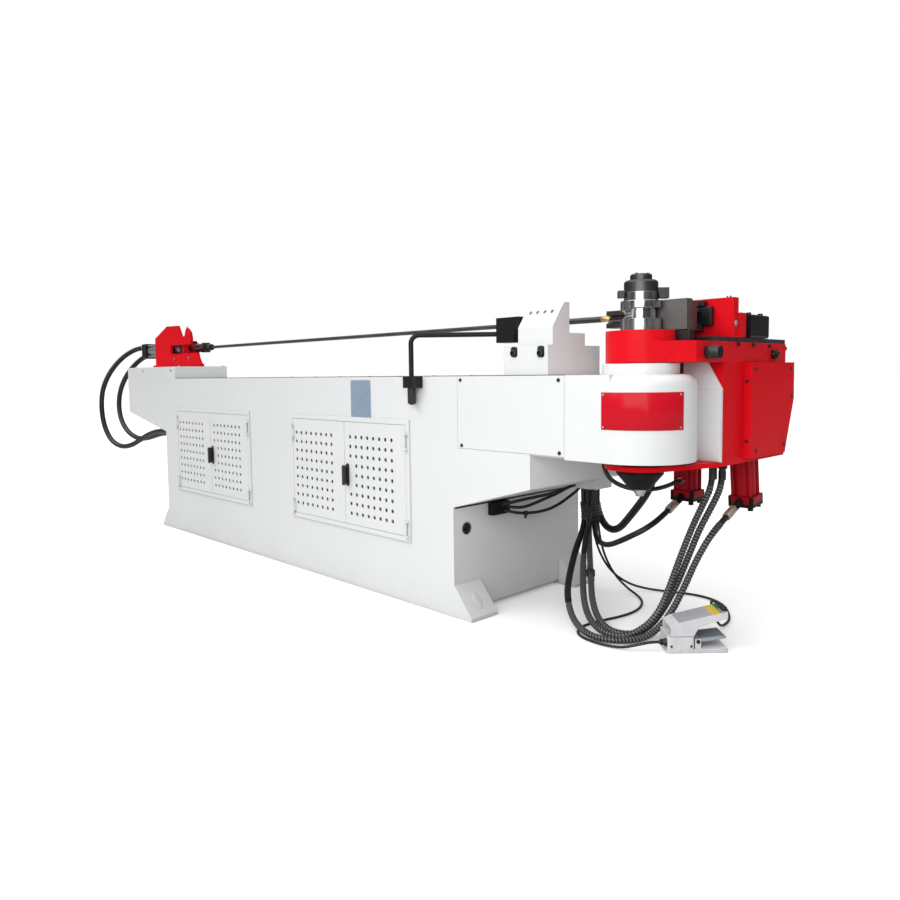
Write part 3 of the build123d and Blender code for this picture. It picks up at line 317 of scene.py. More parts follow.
MAT["hose_rubber"] = hose_mat("hose_rubber", (0.006, 0.006, 0.0065), (0.012, 0.012, 0.013), (0.030, 0.029, 0.028), 46, 0.26, 0.40)
MAT["cable_pvc"] = hose_mat("cable_pvc", (0.007, 0.007, 0.008), (0.014, 0.014, 0.016), (0.035, 0.035, 0.035), 0, 0.30, 0.42)
# painted highlights: the glossy black guard is coloured mid grey so its ribs show light against the black hose
MAT["spiral_guard_painted_sheen"] = plastic("spiral_guard_painted_sheen", (0.10, 0.101, 0.104), (0.16, 0.162, 0.166), 0.14, 0.24, 400, 0.03, (0.3, 0.3, 0.3), 0.2)
MAT["bolt_black"] = metal("bolt_black", (0.022, 0.022, 0.024), (0.06, 0.06, 0.063), 0.30, 0.46, (1, 1, 1), 200, 0.08, None, 0, 0.0006, 0.85)
MAT["bolt_zinc"] = metal("bolt_zinc", (0.40, 0.405, 0.41), (0.64, 0.645, 0.655), 0.24, 0.40, (1, 1, 1), 160, 0.07, (0.46, 0.42, 0.32), 0.25, 0.0006)
MAT["ferrule"] = metal("crimped_zinc", (0.46, 0.46, 0.45), (0.70, 0.70, 0.69), 0.40, 0.55, (1, 1, 1), 120, 0.07, (0.55, 0.48, 0.28), 0.5, 0.0008)
MAT["plate_alloy"] = metal("anodised_plate", (0.21, 0.30, 0.43), (0.31, 0.40, 0.53), 0.32, 0.44, (60, 1, 2), 12, 0.05, (0.40, 0.46, 0.54), 0.3, 0.0006, 0.20)
# painted shade: a darker copy of the red enamel for the cylinders, standing for the shade they sit in under the knee
MAT["deep_red"] = paint("deep_red_enamel", (0.37, 0.0045, 0.012), (0.44, 0.006, 0.016), (0.6, 0.05, 0.05), (0.10, 0.004, 0.008), 0.26, 0.40, 0.06, 0.0022, 0.0, 0.35, False, 0.55, 0.02, 0.10)
MAT["sign_red"] = paint("sign_red", (0.55, 0.006, 0.016), (0.64, 0.009, 0.024), (0.75, 0.2, 0.2), (0.3, 0.01, 0.02), 0.20, 0.30, 0.03, 0.0008, 0.06, 0.3, False, 0.55, 0.02, 0.12)
MAT["yellow_paint"] = paint("yellow_enamel", (0.74, 0.52, 0.02), (0.82, 0.60, 0.04), (0.6, 0.5, 0.2), (0.35, 0.25, 0.03), 0.30, 0.42, 0.05, 0.0008)
MAT["green_paint"] = paint("green_enamel", (0.03, 0.30, 0.10), (0.05, 0.38, 0.14), (0.3, 0.5, 0.35), (0.02, 0.15, 0.05), 0.30, 0.42, 0.05, 0.0008)
MAT["hood_grey"] = plastic("hood_grey", (0.36, 0.37, 0.40), (0.46, 0.47, 0.50), 0.36, 0.5, 800, 0.10, (0.5, 0.49, 0.47), 0.15)
MAT["navy_rubber"] = plastic("navy_rubber", (0.010, 0.010, 0.022), (0.020, 0.020, 0.042), 0.40, 0.55, 900, 0.08)
MAT["pedal_pad"] = plastic("pedal_pad", (0.15, 0.18, 0.21), (0.24, 0.27, 0.31), 0.34, 0.48, 600, 0.14, (0.4, 0.4, 0.4), 0.2)
MAT["gold_zinc"] = metal("yellow_passivate", (0.50, 0.47, 0.40), (0.76, 0.73, 0.66), 0.42, 0.56, (1, 1, 1), 120, 0.07, (0.60, 0.46, 0.18), 0.6, 0.0008)
MAT["grip_steel"] = metal("hardened_steel", (0.155, 0.152, 0.150), (0.225, 0.220, 0.216), 0.42, 0.56, (1, 14, 14), 40, 0.10, (0.14, 0.11, 0.08), 0.3)
# painted reflections: long vertical dark and bright streaks in the colour of the polished die stand for the studio
# reflected in it
MAT["die_chrome_painted_reflections"] = metal("polished_die_painted_reflections", (0.13, 0.132, 0.14), (0.74, 0.745, 0.755), 0.13, 0.25, (2.2, 2.2, 0.12), 26, 0.03, (0.30, 0.28, 0.26), 0.25, 0.0014, 1.0, 260)
MAT["sleeve"] = hose_mat("woven_sleeve", (0.006, 0.006, 0.0065), (0.012, 0.012, 0.013), (0.03, 0.03, 0.03), 90, 0.30, 0.44)
MAT["brass"] = metal("brass", (0.50, 0.36, 0.14), (0.72, 0.54, 0.24), 0.22, 0.38, (14, 1, 14), 30, 0.06, (0.40, 0.26, 0.12), 0.35, 0.0008)



def zoned(name, looks, zone, radius=0.0016):
    """Two finishes on one casting: looks are (dark, light, roughness low, high, metallic), zone gives the mask of the second."""
    m = Mat(name, IOR=1.5, Specular_IOR_Level=0.10)
    x, y, z = m.sep(m.tc.outputs["Object"])
    mask = zone(m, x, y, z)
    cloud = m.noise(30, 4.0, 0.6)
    cols = [m.ramp(cloud, [(0.3, a), (0.7, b)]) for a, b, _, _, _ in looks]
    col = m.mix(mask, cols[0], cols[1])
    rim = m.math("MULTIPLY", m.edge(radius * 1.5, 0.92, 0.995), m.rng(m.noise(60, 3.0, 0.6), 0.38, 0.64, 0.0, 0.35))
    col = m.mix(rim, col, m.mix(mask, *[tuple(min(1.0, c * 1.3 + 0.03) for c in b) for _, b, _, _, _ in looks]))
    # painted shade: colour darkened where ambient occlusion finds corners and crevices
    col = m.mix(m.rng(m.ao(0.02), 0.25, 0.8, 0.35, 0.0), col, m.mix(mask, *[tuple(c * 0.3 for c in a) for a, _, _, _, _ in looks]))
    m.color(col)
    spread = m.noise(18, 4.0, 0.6)
    both = [m.rng(spread, 0.3, 0.7, lo, hi) for _, _, lo, hi, _ in looks]
    m.rough(m.math("ADD", both[0], m.math("MULTIPLY", mask, m.math("SUBTRACT", both[1], both[0]))))
    if looks[0][4] != looks[1][4]:
        m.link(m.rng(mask, 0.0, 1.0, looks[0][4], looks[1][4]), m.b.inputs["Metallic"])
    else:
        m.b.inputs["Metallic"].default_value = looks[0][4]
    m.normal(m.bump(m.noise(260, 2.0, 0.5), 0.05, 0.0008, m.bevel(radius)))
    return m.m


RED_LOOK = ((0.70, 0.0055, 0.0125), (0.78, 0.0075, 0.0160), 0.24, 0.36, 0.0)
# painted shade: the darker cylinder red, as a look for the cylinder caps
CYLINDER_SHADE_RED_LOOK = ((0.36, 0.0045, 0.012), (0.43, 0.006, 0.016), 0.26, 0.40, 0.0)
BLACK_LOOK = ((0.008, 0.008, 0.009), (0.016, 0.016, 0.017), 0.30, 0.46, 0.0)
STEEL_LOOK = ((0.42, 0.425, 0.43), (0.62, 0.625, 0.63), 0.24, 0.38, 1.0)
GREY_LOOK = ((0.66, 0.655, 0.675), (0.76, 0.755, 0.775), 0.36, 0.50, 0.0)
NAVY_LOOK = ((0.010, 0.010, 0.022), (0.020, 0.020, 0.042), 0.36, 0.50, 0.0)


def below(m, value, limit, soft=0.0006):
    return m.rng(value, limit - soft, limit + soft, 1.0, 0.0)


def above(m, value, limit, soft=0.0006):
    return m.rng(value, limit - soft, limit + soft, 0.0, 1.0)


def corner_posts(m, across, along, limit=0.0345):
    """The four corners of a square cap, where its tie rods are."""
    return m.math("MULTIPLY", above(m, m.math("ABSOLUTE", across), limit), above(m, m.math("ABSOLUTE", along), limit))


def pressure_zone(m, x, y, z):
    post = corner_posts(m, m.math("SUBTRACT", x, 0.622 + FX), m.math("SUBTRACT", y, 0.700 + FY))
    return m.math("MAXIMUM", post, m.math("MAXIMUM", below(m, z, 0.472), below(m, y, 0.650 + FY)))


def clamp_zone(m, x, y, z):
    # height along the leaning cylinder, and distance ahead of its axis
    up = m.math("ADD", m.math("MULTIPLY", m.math("SUBTRACT", y, 0.719 + FY), -0.11914), m.math("MULTIPLY", m.math("SUBTRACT", z, 0.630), 0.99288))
    ahead = m.math("ADD", m.math("SUBTRACT", y, 0.719 + FY), m.math("MULTIPLY", up, 0.11914))
    post = corner_posts(m, m.math("SUBTRACT", x, 0.843 + FX), ahead)
    return m.math("MAXIMUM", post, m.math("MAXIMUM", below(m, up, -0.159), below(m, ahead, -0.0487)))


def tip_zone(m, x, y, z):
    return below(m, z, 0.5712)


def switch_zone(m, x, y, z):
    ox, oy = 0.803 + FX, 0.237 + FY
    along = m.math("ADD", m.math("MULTIPLY", m.math("SUBTRACT", x, ox), 0.695), m.math("MULTIPLY", m.math("SUBTRACT", y, oy), 0.719))
    gland = below(m, along, 0.0035)
    gland = m.math("MULTIPLY", gland, below(m, m.math("MULTIPLY", z, -1.0), -0.016))
    boot = m.math("MULTIPLY", below(m, m.math("MULTIPLY", along, -1.0), -0.1895), below(m, m.math("MULTIPLY", z, -1.0), -0.1436))
    return m.math("MAXIMUM", gland, boot)


def outlet_zone(m, x, y, z):
    return m.math("MULTIPLY", above(m, x, 0.100 + FX), above(m, z, 0.4674))


# the block's neck, which takes the dark steel and painted shade look
def neck_steel_and_shade_zone(m, x, y, z):
    return below(m, y, 0.4286 + FY)


def screw_zone(m, x, y, z):
    return above(m, x, 0.9155 + FX, 0.0002)


WHITE_LOOK = ((0.775, 0.79, 0.797), (0.815, 0.826, 0.83), 0.30, 0.40, 0.0)
# neck of the clamp block: dark steel colour, made darker still as painted shade for the shadow that falls on it
NECK_STEEL_AND_SHADE_LOOK = ((0.026, 0.018, 0.020), (0.046, 0.032, 0.036), 0.34, 0.48, 0.0)
ZONED = {
    "hose_outlets": zoned("outlet_enamel", (BLACK_LOOK, WHITE_LOOK), outlet_zone),
    "clamp_block": zoned("clamp_block_enamel", (RED_LOOK, NECK_STEEL_AND_SHADE_LOOK), neck_steel_and_shade_zone),
    "arm_casting": zoned("arm_enamel", (RED_LOOK, BLACK_LOOK), screw_zone),
    "pressure_cylinder": MAT["deep_red"],
    "clamp_cylinder": MAT["deep_red"],
    "bend_die": MAT["die_chrome_painted_reflections"],
    "die_grip": MAT["grip_steel"],
    "clamp_die": MAT["grip_steel"],
    "pressure_cylinder_caps": zoned("pressure_caps_enamel", (CYLINDER_SHADE_RED_LOOK, BLACK_LOOK), pressure_zone),
    "clamp_cylinder_caps": zoned("clamp_caps_enamel", (CYLINDER_SHADE_RED_LOOK, BLACK_LOOK), clamp_zone),
    "spindle_cone": zoned("cone_enamel", (BLACK_LOOK, STEEL_LOOK), tip_zone),
    "foot_switch_base": zoned("switch_housing", (GREY_LOOK, NAVY_LOOK), switch_zone),
}

for part in frame["record"]["subparts"]:
    node = NODES[part["node"]]
    node.data.materials.clear()
    node.data.materials.append(ZONED.get(part["node"]) or MAT[part["material_slot"]])


# ------------------------------------------------------------------ mesh helpers
NEAR, FAR, EAST, WEST, TOP, DOWN = (0, -1, 0), (0, 1, 0), (1, 0, 0), (-1, 0, 0), (0, 0, 1), (0, 0, -1)


def finish_mesh(name, bm, mat, body, smooth=35, uv=False):
    bmesh.ops.recalc_face_normals(bm, faces=bm.faces)
    me = bpy.data.meshes.new(name)
    bm.to_mesh(me)
    bm.free()
    me.polygons.foreach_set("use_smooth", [True] * len(me.polygons))
    me.set_sharp_from_angle(angle=math.radians(smooth))
    ob = bpy.data.objects.new(name, me)
    bpy.context.scene.collection.objects.link(ob)
    me.materials.append(MAT[mat] if isinstance(mat, str) else mat)
    if body:
        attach(ob, body)
    return ob


def axes(axis):
    w = Vector(axis).normalized()
    ref = Vector((0, 0, 1)) if abs(w.z) < 0.9 else Vector((1, 0, 0))
    a = ref.cross(w).normalized()
    return a, w.cross(a), w


def ring_points(shape, rad, n):
    """n points round a circle or a hexagon of that size across its corners."""
    pts = []
    for i in range(n):
        t = 2 * math.pi * i / n
        k = rad
        if shape == "hex":
            s = (t % (math.pi / 3)) - math.pi / 6
            k = rad * math.cos(math.pi / 6) / math.cos(s)
        pts.append((k * math.cos(t), k * math.sin(t)))
    return pts


def turned(bm, pos, axis, rings, n=24, close=True, loop=False):
    """Rings of (shape, radius, height) joined to one closed body; radius and height in mm."""
    a, b, w = axes(axis)
    rows = []
    for shape, rad, h in rings:
        rows.append([bm.verts.new(pos + (a * x + b * y + w * h) / 1000) for x, y in ring_points(shape, rad, n)])
    for r0, r1 in zip(rows, rows[1:] + rows[:1] if loop else rows[1:]):
        for i in range(n):
            j = (i + 1) % n
            bm.faces.new((r0[i], r0[j], r1[j], r1[i]))
    if close and not loop:
        bm.faces.new(list(reversed(rows[0])))
        bm.faces.new(rows[-1])
    return rows


def socket_bolt(bm, pos, axis, rad, h):
    c = rad * 0.16
    turned(bm, pos, axis, [("c", rad, -1), ("c", rad, h - c), ("c", rad - c, h), ("hex", rad * 0.60, h), ("hex", rad * 0.58, h * 0.45)])


def button_screw(bm, pos, axis, rad, h):
    turned(bm, pos, axis, [("c", rad, -1), ("c", rad, h * 0.25), ("c", rad * 0.92, h * 0.62), ("c", rad * 0.72, h * 0.92), ("hex", rad * 0.44, h), ("hex", rad * 0.42, h * 0.35)])


def hex_bolt(bm, pos, axis, rad, h, washer=True):
    z0 = -1.0
    if washer:
        turned(bm, pos, axis, [("c", rad * 1.28, -1), ("c", rad * 1.28, rad * 0.16), ("c", rad * 1.2, rad * 0.22), ("c", rad * 0.5, rad * 0.22)])
        z0 = rad * 0.2
    turned(bm, pos, axis, [("hex", rad, z0), ("hex", rad, h - rad * 0.14), ("c", rad * 0.86, h), ("c", rad * 0.3, h)])


def hex_nut(bm, pos, axis, rad, h, stud):
    turned(bm, pos, axis, [("c", rad * 0.9, -1), ("hex", rad, rad * 0.12), ("hex", rad, h - rad * 0.14), ("c", rad * 0.87, h), ("c", rad * 0.55, h), ("c", rad * 0.52, h + stud - 1), ("c", rad * 0.44, h + stud)])


def slab(bm, corners, thick, normal, bevel=0.0):
    """A flat plate of those corners (row frame), of that thickness in mm along normal, with broken edges."""
    n = Vector(normal).normalized() * thick / 1000
    cen = sum(corners, Vector()) / len(corners)
    low = [bm.verts.new(c) for c in corners]
    mid = [bm.verts.new(c + n * (1 - bevel / thick if thick else 1)) for c in corners]
    top = [bm.verts.new(c + n + (cen - c).normalized() * bevel * 1.4 / 1000) for c in corners]
    k = len(corners)
    for a, b in ((low, mid), (mid, top)):
        for i in range(k):
            j = (i + 1) % k
            bm.faces.new((a[i], a[j], b[j], b[i]))
    bm.faces.new(list(reversed(low)))
    bm.faces.new(top)


def rounded(x0, x1, z0, z1, rad, n=6):
    pts = []
    for cx, cz, s in ((x1 - rad, z0 + rad, -90), (x1 - rad, z1 - rad, 0), (x0 + rad, z1 - rad, 90), (x0 + rad, z0 + rad, 180)):
        for i in range(n + 1):
            t = math.radians(s + 90 * i / n)
            pts.append((cx + rad * math.cos(t), cz + rad * math.sin(t)))
    return pts


# ------------------------------------------------------------------ cords
HOSE_D, CABLE_D = 0.022, 0.010
ROUTES = {
    "rear_hose_upper": [
        (-3475, 225, 1187), (-3540, 225, 1187), (-3616, 196, 1174), (-3684, 132, 1118), (-3728, 58, 1016),
        (-3750, 6, 890), (-3744, -12, 750), (-3700, -12, 612), (-3618, 2, 510), (-3500, 30, 466),
        (-3372, 56, 482), (-3250, 74, 530), (-3130, 86, 574), (-3010, 94, 598), (-2890, 98, 606),
        (-2770, 100, 604), (-2667, 100, 604)],
    "rear_hose_lower": [
        (-3475, 275, 1131), (-3540, 275, 1131), (-3625, 257, 1112), (-3687, 212, 1052), (-3722, 160, 962),
        (-3726, 120, 856), (-3698, 98, 742), (-3632, 92, 638), (-3532, 102, 562), (-3414, 120, 526),
        (-3296, 136, 532), (-3178, 146, 556), (-3060, 149, 578), (-2940, 148, 588), (-2820, 146.5, 588),
        (-2740, 146, 586), (-2667, 146, 586)],
    "clamp_hose_a": [
        (160, 640, 468), (160, 640, 408), (176, 632, 348), (188, 600, 288), (212, 516, 227),
        (255.5, 416, 151), (306, 329, 96), (384, 245, 51.5), (462, 192, 24), (541, 169, 13.4),
        (612, 182, 13), (664, 230, 13.2), (693, 288, 18), (712, 338, 44), (738, 376, 96),
        (766, 412, 182), (794, 446, 282), (826, 474, 362), (843, 521.5, 408.97), (843, 585.03, 434.25)],
    "clamp_hose_b": [
        (196, 622, 468), (196, 622, 408), (210, 613, 338), (237, 576, 258), (289, 508, 190),
        (350, 430, 132), (413, 348, 82), (484, 283.4, 41.7), (547.3, 259, 17.6), (606.4, 268, 13),
        (650.4, 304, 18), (678, 342, 44), (703, 380, 98), (732, 419, 181), (762, 450, 290),
        (792, 480, 400), (828, 510, 490), (850, 530, 560), (850, 530, 618)],
    "pressure_hose": [
        (622, 557.65, 436.07), (622, 485.95, 407.54), (595.2, 425, 373.7), (538, 405, 339), (466, 430, 302),
        (396, 476, 275), (331, 524, 265), (278, 567, 274), (249, 600, 306), (236, 624, 350),
        (233, 640, 404), (233, 640, 468)],
    "trunk_hose": [
        (200, 676, 468), (200, 676, 436), (207, 672, 398), (225, 662, 360), (257, 644.5, 328),
        (300, 621, 310), (348, 594.5, 311), (400, 566, 335), (456, 534.5, 384), (522, 497, 444),
        (582, 463, 504), (622, 440, 564), (640, 430, 622), (640, 430, 676)],
    "pedal_cable": [
        (160, 692, 468), (160, 692, 424), (166, 690, 350), (176, 694, 262), (194, 712, 170),
        (230, 748, 84), (290, 800, 28), (370, 852, 8), (462, 896, 6), (552, 922, 6.3),
        (640, 908, 6), (708, 856, 6.2), (762, 782, 6), (806, 698, 6.4), (822, 611, 10),
        (827, 567, 26), (828, 527, 72), (834, 489, 126), (853, 457, 153), (903.92, 416.22, 153)],
    "gland_cable": [
        (186, 708, 468), (186, 708, 424), (188, 706, 350), (198, 704, 262), (220, 708, 170),
        (256, 730, 84), (308, 756, 24), (370, 744, 6), (426, 690, 6.2), (466, 620, 6),
        (484, 540, 6.3), (478, 460, 6), (458, 385, 6.2), (440, 315, 6), (436, 248, 6.2),
        (456, 190, 6), (502, 156, 6.3), (560, 144, 6), (620, 146, 6.4), (676, 158, 10),
        (722, 185.5, 25), (752.43, 216.34, 34), (774.67, 239.35, 34)],
}
CABLES = ("pedal_cable", "gland_cable")
DIA = {n: CABLE_D if n in CABLES else HOSE_D for n in ROUTES}
DIA["trunk_hose"] = 0.030


def nurbs_line(name, pts, res=10):
    """The route's smooth line, read from a NURBS spline with the route's points as its control points."""
    cu = bpy.data.curves.new(name + "_line", "CURVE")
    cu.dimensions = "3D"
    sp = cu.splines.new("NURBS")
    sp.points.add(len(pts) - 1)
    for q, p in zip(sp.points, pts):
        q.co = (*p, 1)
    sp.order_u = 3
    sp.use_endpoint_u = True
    sp.resolution_u = res
    ob = bpy.data.objects.new(name + "_line", cu)
    bpy.context.scene.collection.objects.link(ob)
    bpy.context.view_layer.update()
    me = bpy.data.meshes.new_from_object(ob.evaluated_get(bpy.context.evaluated_depsgraph_get()))
    line = [v.co.copy() for v in me.vertices]
    bpy.data.meshes.remove(me)
    bpy.data.objects.remove(ob)
    bpy.data.curves.remove(cu)
    return line


def frames_along(line):
    """Parallel frames (tangent, side, other side, arc length) along a line."""
    tang = []
    for i in range(len(line)):
        a, b = line[max(i - 1, 0)], line[min(i + 1, len(line) - 1)]
        tang.append((b - a).normalized())
    side = axes(tang[0])[0]
    out, s = [], 0.0
    for i, t in enumerate(tang):
        side = (side - t * side.dot(t)).normalized()
        if i:
            s += (line[i] - line[i - 1]).length
        out.append((t, side, t.cross(side), s))
    return out


def tube(name, line, rad, mat, n=16):
    bm = bmesh.new()
    uvl = bm.loops.layers.uv.new("UVMap")
    fr = frames_along(line)
    rows = []
    for p, (t, a, b, s) in zip(line, fr):
        rows.append([bm.verts.new(p + (a * math.cos(2 * math.pi * i / n) + b * math.sin(2 * math.pi * i / n)) * rad) for i in range(n)])
    for k in range(len(rows) - 1):
        for i in range(n):
            j = (i + 1) % n
            f = bm.faces.new((rows[k][i], rows[k][j], rows[k + 1][j], rows[k + 1][i]))
            for lp, (uu, vv) in zip(f.loops, ((fr[k][3], i / n), (fr[k][3], (i + 1) / n), (fr[k + 1][3], (i + 1) / n), (fr[k + 1][3], i / n))):
                lp[uvl].uv = (uu, vv)
    bm.faces.new(list(reversed(rows[0])))
    bm.faces.new(rows[-1])
    return finish_mesh(name, bm, mat, None)


def spiral(name, line, rad, start, stop, pitch, width, thick, mat, steps=14):
    """A flat plastic strip wound round the hose, from start to stop along it (m)."""
    fr = frames_along(line)
    total = fr[-1][3]
    stop = min(stop, total)
    bm = bmesh.new()
    rows = []
    count = int((stop - start) / pitch * steps)
    k = 0
    for c in range(count + 1):
        s = start + (stop - start) * c / count
        while k < len(fr) - 2 and fr[k + 1][3] < s:
            k += 1
        f = (s - fr[k][3]) / max(fr[k + 1][3] - fr[k][3], 1e-9)
        p = line[k].lerp(line[k + 1], f)
        t = fr[k][0].lerp(fr[k + 1][0], f).normalized()
        a = fr[k][1].lerp(fr[k + 1][1], f)
        a = (a - t * a.dot(t)).normalized()
        b = t.cross(a)
        ph = 2 * math.pi * (s - start) / pitch
        out = a * math.cos(ph) + b * math.sin(ph)
        rows.append([bm.verts.new(p + out * (rad + q) + t * w) for w, q in (
            (-width / 2, -0.0004), (-width / 2 * 0.8, thick * 0.75), (0.0, thick), (width / 2 * 0.8, thick * 0.75), (width / 2, -0.0004))])
    for r0, r1 in zip(rows, rows[1:]):
        for i in range(5):
            j = (i + 1) % 5
            bm.faces.new((r0[i], r0[j], r1[j], r1[i]))
    bm.faces.new(list(reversed(rows[0])))
    bm.faces.new(rows[-1])
    return finish_mesh(name, bm, mat, None, smooth=50)


def stretch(line, s0, s1):
    """The part of a line between two arc lengths (m)."""
    fr = frames_along(line)
    out = []
    for i in range(len(line) - 1):
        a, b = fr[i][3], fr[i + 1][3]
        for s in (s0, s1):
            if a <= s < b:
                out.append((s, line[i].lerp(line[i + 1], (s - a) / max(b - a, 1e-9))))
        if s0 < b < s1:
            out.append((b, line[i + 1]))
    return [q for _, q in sorted(out, key=lambda e: e[0])]


def ferrule(bm, line, rad, first=True, length=0.042):
    """A crimped end sleeve on the hose, with its ridges."""
    fr = frames_along(line)
    if first:
        pos, axis = line[0], fr[0][0]
    else:
        pos, axis = line[-1], -fr[-1][0]
    L = length * 1000
    R = rad * 1000
    rings = [("hex", R * 1.02, 0.3), ("hex", R * 1.12, 1.0), ("hex", R * 1.12, L * 0.2), ("c", R * 1.05, L * 0.24)]
    for i in range(5):
        z = L * (0.26 + 0.14 * i)
        rings += [("c", R * 1.22, z), ("c", R * 1.26, z + L * 0.05), ("c", R * 1.22, z + L * 0.09), ("c", R * 1.14, z + L * 0.115)]
    rings += [("c", R * 1.2, L * 0.97), ("c", R * 1.02, L)]
    turned(bm, pos, axis, rings, n=24)


LINES = {}
CORDS = {}
for name, pts in ROUTES.items():
    line = nurbs_line(name, [P(*q) for q in pts])
    LINES[name] = line
    kind = "cable_pvc" if name in CABLES else "hose_rubber"
    CORDS[name] = tube(name + "_run", line, DIA[name] / 2, kind, 12 if name in CABLES else 20)
    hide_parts(name)

# the clamp hoses pass from the body to the arm; what is on them is baked into place and left without a body
extra = {n: [] for n in ROUTES}
for name, (s0, s1) in {"clamp_hose_a": (0.62, 1.555), "clamp_hose_b": (0.10, 1.485)}.items():
    g = spiral(name + "_guard", LINES[name], HOSE_D / 2, s0, s1, 0.0118, 0.0056, 0.0021, "spiral_guard_painted_sheen")
    extra[name].append(g)
    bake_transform(g)

# smooth sleeves over the loops that rub: one strand of the clamp hose, both rear hoses
for name, rad, s0, s1 in (("clamp_hose_a", 0.0136, 0.075, 0.60), ("rear_hose_upper", 0.0172, 0.050, 1.87), ("rear_hose_lower", 0.0172, 0.050, 1.65)):
    g = tube(name + "_sleeve", stretch(LINES[name], s0, s1), rad, "sleeve", 20)
    extra[name].append(g)
    if name == "clamp_hose_a":
        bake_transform(g)
    else:
        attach(g, "base")
for name in ("clamp_hose_a", "clamp_hose_b"):
    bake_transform(CORDS[name])
for name in ROUTES:
    if not name.startswith("clamp_hose"):
        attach(CORDS[name], "base")

bm = bmesh.new()
for name in ("rear_hose_upper", "rear_hose_lower"):
    ferrule(bm, LINES[name], HOSE_D / 2, True)
    ferrule(bm, LINES[name], HOSE_D / 2, False)
ferrule(bm, LINES["trunk_hose"], DIA["trunk_hose"] / 2, False, 0.05)
finish_mesh("hose_ferrules", bm, "ferrule", "base")


def crimp(bm, pos, axis, length, rad):
    """A pressed hose end: hexagon, neck, and a sleeve with its rings of crimp marks."""
    rings = [("c", rad * 0.9, -2), ("hex", rad * 1.16, 0), ("hex", rad * 1.16, length * 0.24), ("c", rad * 1.02, length * 0.28)]
    for i in range(6):
        z = length * (0.32 + 0.108 * i)
        rings += [("c", rad * 1.10, z), ("c", rad * 1.13, z + length * 0.04), ("c", rad * 1.10, z + length * 0.075), ("c", rad * 1.05, z + length * 0.095)]
    rings += [("c", rad * 1.08, length * 0.985), ("c", rad * 0.80, length)]
    turned(bm, pos, axis, rings, n=24)


FIT = Vector((0, -0.93, -0.37)).normalized()
UP = Vector((0, -0.12, 1.0)).normalized()
bm = bmesh.new()
crimp(bm, P(622, 658, 476) + FIT * 0.057, FIT, 58, 14.2)
finish_mesh("pressure_crimp", bm, "gold_zinc", "base")
bm = bmesh.new()
crimp(bm, P(843, 719, 630) - UP * 0.153 + Vector((0, -0.042, 0)) + FIT * 0.061, FIT, 64, 14.2)
finish_mesh("clamp_crimp", bm, "gold_zinc", "swing_arm")

# third hose of the clamp, lying along the guarded one
TWIN = [
    (238, 608, 470), (238, 608, 440), (236, 606, 404), (232, 596, 350), (234, 572, 306), (245, 532, 252), (270, 488, 192),
    (324, 410, 134), (386, 330, 84), (450, 268, 47), (512, 236, 24), (568, 225, 14), (620, 238, 14), (660, 272, 31), (692, 316, 66),
    (712, 354, 116), (724, 388, 186), (744, 424, 290), (772, 456, 400), (800, 482, 484), (824, 504, 554), (826, 506, 622)]
twin = nurbs_line("clamp_hose_c", [P(*q) for q in TWIN])
twin_long = frames_along(twin)[-1][3]
twin_ob = tube("clamp_hose_c", twin, HOSE_D / 2, "hose_rubber", 20)
twin_guard = spiral("clamp_hose_c_guard", twin, HOSE_D / 2, 0.30, twin_long - 0.07, 0.0118, 0.0056, 0.0021, "spiral_guard_painted_sheen")
for ob in (twin_ob, twin_guard):
    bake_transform(ob)
bm = bmesh.new()
crimp(bm, P(826, 506, 658), DOWN, 80, 13.2)
ferrule(bm, LINES["clamp_hose_b"], HOSE_D / 2, False)
finish_mesh("clamp_feed_ends", bm, "bolt_black", "swing_arm")

# three looms from the duct box, clipped along under the haunch into the outlet block; the leak-oil line under the head
LOOMS = {
    "leak_line": [(484, 318, 676), (484, 318, 640), (490, 319, 602), (512, 324, 567), (560, 332, 545), (616, 350, 536), (646, 415, 534), (644, 510, 536), (628, 600, 540), (622, 661, 540)],
    "loom_upper": [(27, 258, 426), (52, 268, 432), (86, 300, 444), (110, 360, 452), (118, 440, 455), (124, 520, 462), (130, 586, 474), (142, 604, 482)],
    "loom_middle": [(27, 284, 415), (50, 300, 410), (78, 336, 409), (98, 390, 424), (108, 450, 438), (116, 520, 452), (122, 580, 470), (134, 604, 478)],
    "loom_lower": [(27, 270, 402), (54, 292, 390), (82, 344, 384), (98, 408, 382), (106, 476, 388), (112, 540, 404), (124, 596, 432), (146, 622, 458), (152, 626, 470)],
}
for name, pts in LOOMS.items():
    line = nurbs_line(name, [P(*q) for q in pts])
    rad = 0.0085 if name == "leak_line" else 0.0065
    ob = tube(name, line, rad, "hose_rubber", 16)
    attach(ob, "base")


bm = bmesh.new()
turned(bm, P(484, 318, 676), DOWN, [("c", 13, -1), ("hex", 13, 0), ("hex", 13, 12), ("c", 12, 14), ("c", 11.5, 22), ("c", 8.8, 24)], 24)
turned(bm, P(622, 661, 540), NEAR, [("c", 13, -2), ("hex", 13, 0), ("hex", 13, 12), ("c", 12, 14), ("c", 11.5, 22), ("c", 8.8, 24)], 24)
finish_mesh("leak_line_nuts", bm, "ferrule", "base")


# tape wound round the hoses below the outlet block, drawn tight over them
def at_height(line, z, near):
    """Where a line passes that height, the crossing closest to a place."""
    hits = [a.lerp(b, (z - a.z) / (b.z - a.z)) for a, b in zip(line, line[1:]) if (a.z - z) * (b.z - z) <= 0 and a.z != b.z]
    return min(hits, key=lambda q: (q - near).length)


def hull(pts):
    pts = sorted(set(pts))
    sides = []
    for seq in (pts, pts[::-1]):
        h = []
        for q in seq:
            while len(h) > 1 and (h[-1][0] - h[-2][0]) * (q[1] - h[-2][1]) - (h[-1][1] - h[-2][1]) * (q[0] - h[-2][0]) <= 0:
                h.pop()
            h.append(q)
        sides += h[:-1]
    return sides


